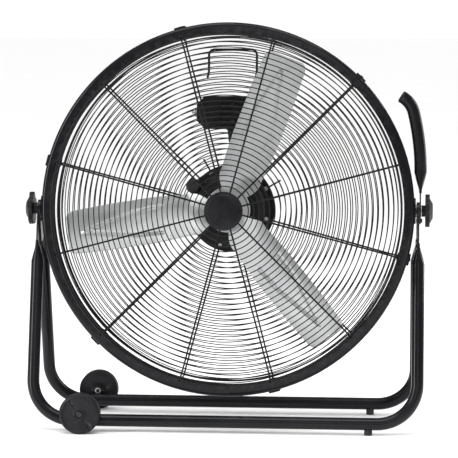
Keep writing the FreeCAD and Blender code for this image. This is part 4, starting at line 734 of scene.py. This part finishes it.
MATERIALS = {
    "frame_paint": black_paint("gloss_frame_paint", 0.16),
    "hoop_paint": black_paint("gloss_hoop_enamel", 0.12, 0.06),
    "guard_wire": dipped_wire(),
    "blade_metal": blade_metal(),
    "cast_paint": cast_paint(),
    "black_plastic": moulded_black("grained_black_moulding", (0.0055, 0.0055, 0.0065), 0.42, 0.25, 0.3),
    "badge_plastic": moulded_black("polished_badge_moulding", (0.005, 0.005, 0.006), 0.25, 0.05, 0.9),
    "knob_plastic": moulded_black("hard_knob_moulding", (0.007, 0.007, 0.0075), 0.36, 0.15, 0.4),
    "wheel_plastic": moulded_black("charcoal_wheel_moulding", (0.008, 0.008, 0.0095), 0.45, 0.3, 0.5),
    "grey_plastic": grey_moulding(),
    "black_rubber": rubber(),
    "zinc_steel": bright_metal("zinc_plate", (0.60, 0.60, 0.58), 0.28),
    "black_steel": bright_metal("blackened_steel", (0.05, 0.05, 0.052), 0.32, 0.1),
    "copper_wire": varnished_copper(),
    "can_metal": bright_metal("dark_anodised_can", (0.07, 0.07, 0.075), 0.3, 0.15),
    "core_steel": bright_metal("lamination_steel", (0.24, 0.24, 0.25), 0.42, 0.5),
    "bearing_steel": bright_metal("ground_steel", (0.72, 0.72, 0.73), 0.15, 0.1),
}

# ---- build ----

guard("front_guard_wires", "front_guard", FRONT_FIRST_RING, FRONT_SPOKE_END, False,
      MATERIALS["guard_wire"])
guard("rear_guard_wires", "rear_guard", REAR_FIRST_RING, REAR_SPOKE_END, True,
      MATERIALS["guard_wire"])
fan_blades(MATERIALS["blade_metal"])
motor_lead(MATERIALS["black_rubber"])
MODELLED = {"front_guard", "rear_guard", "fan_blade", "motor_lead"}
for node in sorted(SLOT_OF):
    if node not in MODELLED:
        finished_copy(node, MATERIALS[SLOT_OF[node]])


# ---- floor, light and camera ----

FLOOR_SIZE = 60.0
FLOOR_MIDDLE = (0, 20.0, 0)
# how bright the surround is for soft light, for gloss reflections and as background
SOFT_SURROUND = 1.35
GLOSS_SURROUND = 0.24
SEEN_SURROUND = 1.05
WHITE = (1.0, 1.0, 1.0, 1.0)
# each lamp: name, place, point it is aimed at, width and height, power
LAMPS = [("overhead", (0.0, -0.6, 3.2), (0.0, 0.0, 0.4), (2.6, 2.0), 60.0),
         ("left_strip", (-2.6, -1.6, 1.3), (0.0, 0.0, 0.5), (0.7, 2.2), 60.0),
         ("right_rim", (2.6, 1.2, 1.4), (0.0, 0.0, 0.5), (0.5, 2.0), 30.0),
         ("front_fill", (0.5, -4.5, 2.2), (0.0, 0.0, 0.5), (2.0, 1.4), 12.0)]
CAMERA_PLACE = (0.404, -4.977, 0.969)
CAMERA_AIM = (0.003, 0.0, 0.4476)
CAMERA_LENS = 172.9
CAMERA_SENSOR = 36.0
CAMERA_REACH = 200.0


def studio_floor():
    bpy.ops.mesh.primitive_plane_add(size=FLOOR_SIZE, location=FLOOR_MIDDLE)
    floor = bpy.context.object
    floor.name = "studio_floor"
    paper = Finish("white_paper", (0.86, 0.86, 0.86), 0.6)
    paper.tint(paper.effect("patchy", "Mask", Scale=0.6), (0.87, 0.87, 0.87))
    floor.data.materials.append(paper.done())


def soft_light(name, place, aim, size, power):
    bpy.ops.object.light_add(type="AREA", location=place)
    lamp = bpy.context.object
    lamp.name = name
    lamp.data.shape = "RECTANGLE"
    lamp.data.size = size[0]
    lamp.data.size_y = size[1]
    lamp.data.energy = power
    lamp.rotation_euler = (Vector(aim) - Vector(place)).to_track_quat("-Z", "Y").to_euler()


def white_surround():
    """Pure white behind the object, bright soft light, and a darker room for the gloss to reflect."""
    world = bpy.data.worlds.new("white_surround")
    bpy.context.scene.world = world
    world.use_nodes = True
    tree = world.node_tree
    path = tree.nodes.new("ShaderNodeLightPath")
    shade = tree.nodes["Background"]
    shade.inputs["Color"].default_value = WHITE
    shade.inputs["Strength"].default_value = SOFT_SURROUND
    for ray, strength in (("Is Glossy Ray", GLOSS_SURROUND), ("Is Camera Ray", SEEN_SURROUND)):
        other = tree.nodes.new("ShaderNodeBackground")
        other.inputs["Color"].default_value = WHITE
        other.inputs["Strength"].default_value = strength
        mix = tree.nodes.new("ShaderNodeMixShader")
        tree.links.new(path.outputs[ray], mix.inputs["Fac"])
        tree.links.new(shade.outputs[0], mix.inputs[1])
        tree.links.new(other.outputs["Background"], mix.inputs[2])
        shade = mix
    tree.links.new(shade.outputs["Shader"], tree.nodes["World Output"].inputs["Surface"])


def camera():
    place = Vector(CAMERA_PLACE)
    bpy.ops.object.camera_add(location=place)
    viewer = bpy.context.object
    viewer.rotation_euler = (Vector(CAMERA_AIM) - place).to_track_quat("-Z", "Y").to_euler()
    viewer.data.lens = CAMERA_LENS
    viewer.data.sensor_width = CAMERA_SENSOR
    viewer.data.clip_end = CAMERA_REACH
    bpy.context.scene.camera = viewer
    bpy.context.scene.view_settings.view_transform = "Standard"


studio_floor()
for lamp_settings in LAMPS:
    soft_light(*lamp_settings)
white_surround()
camera()
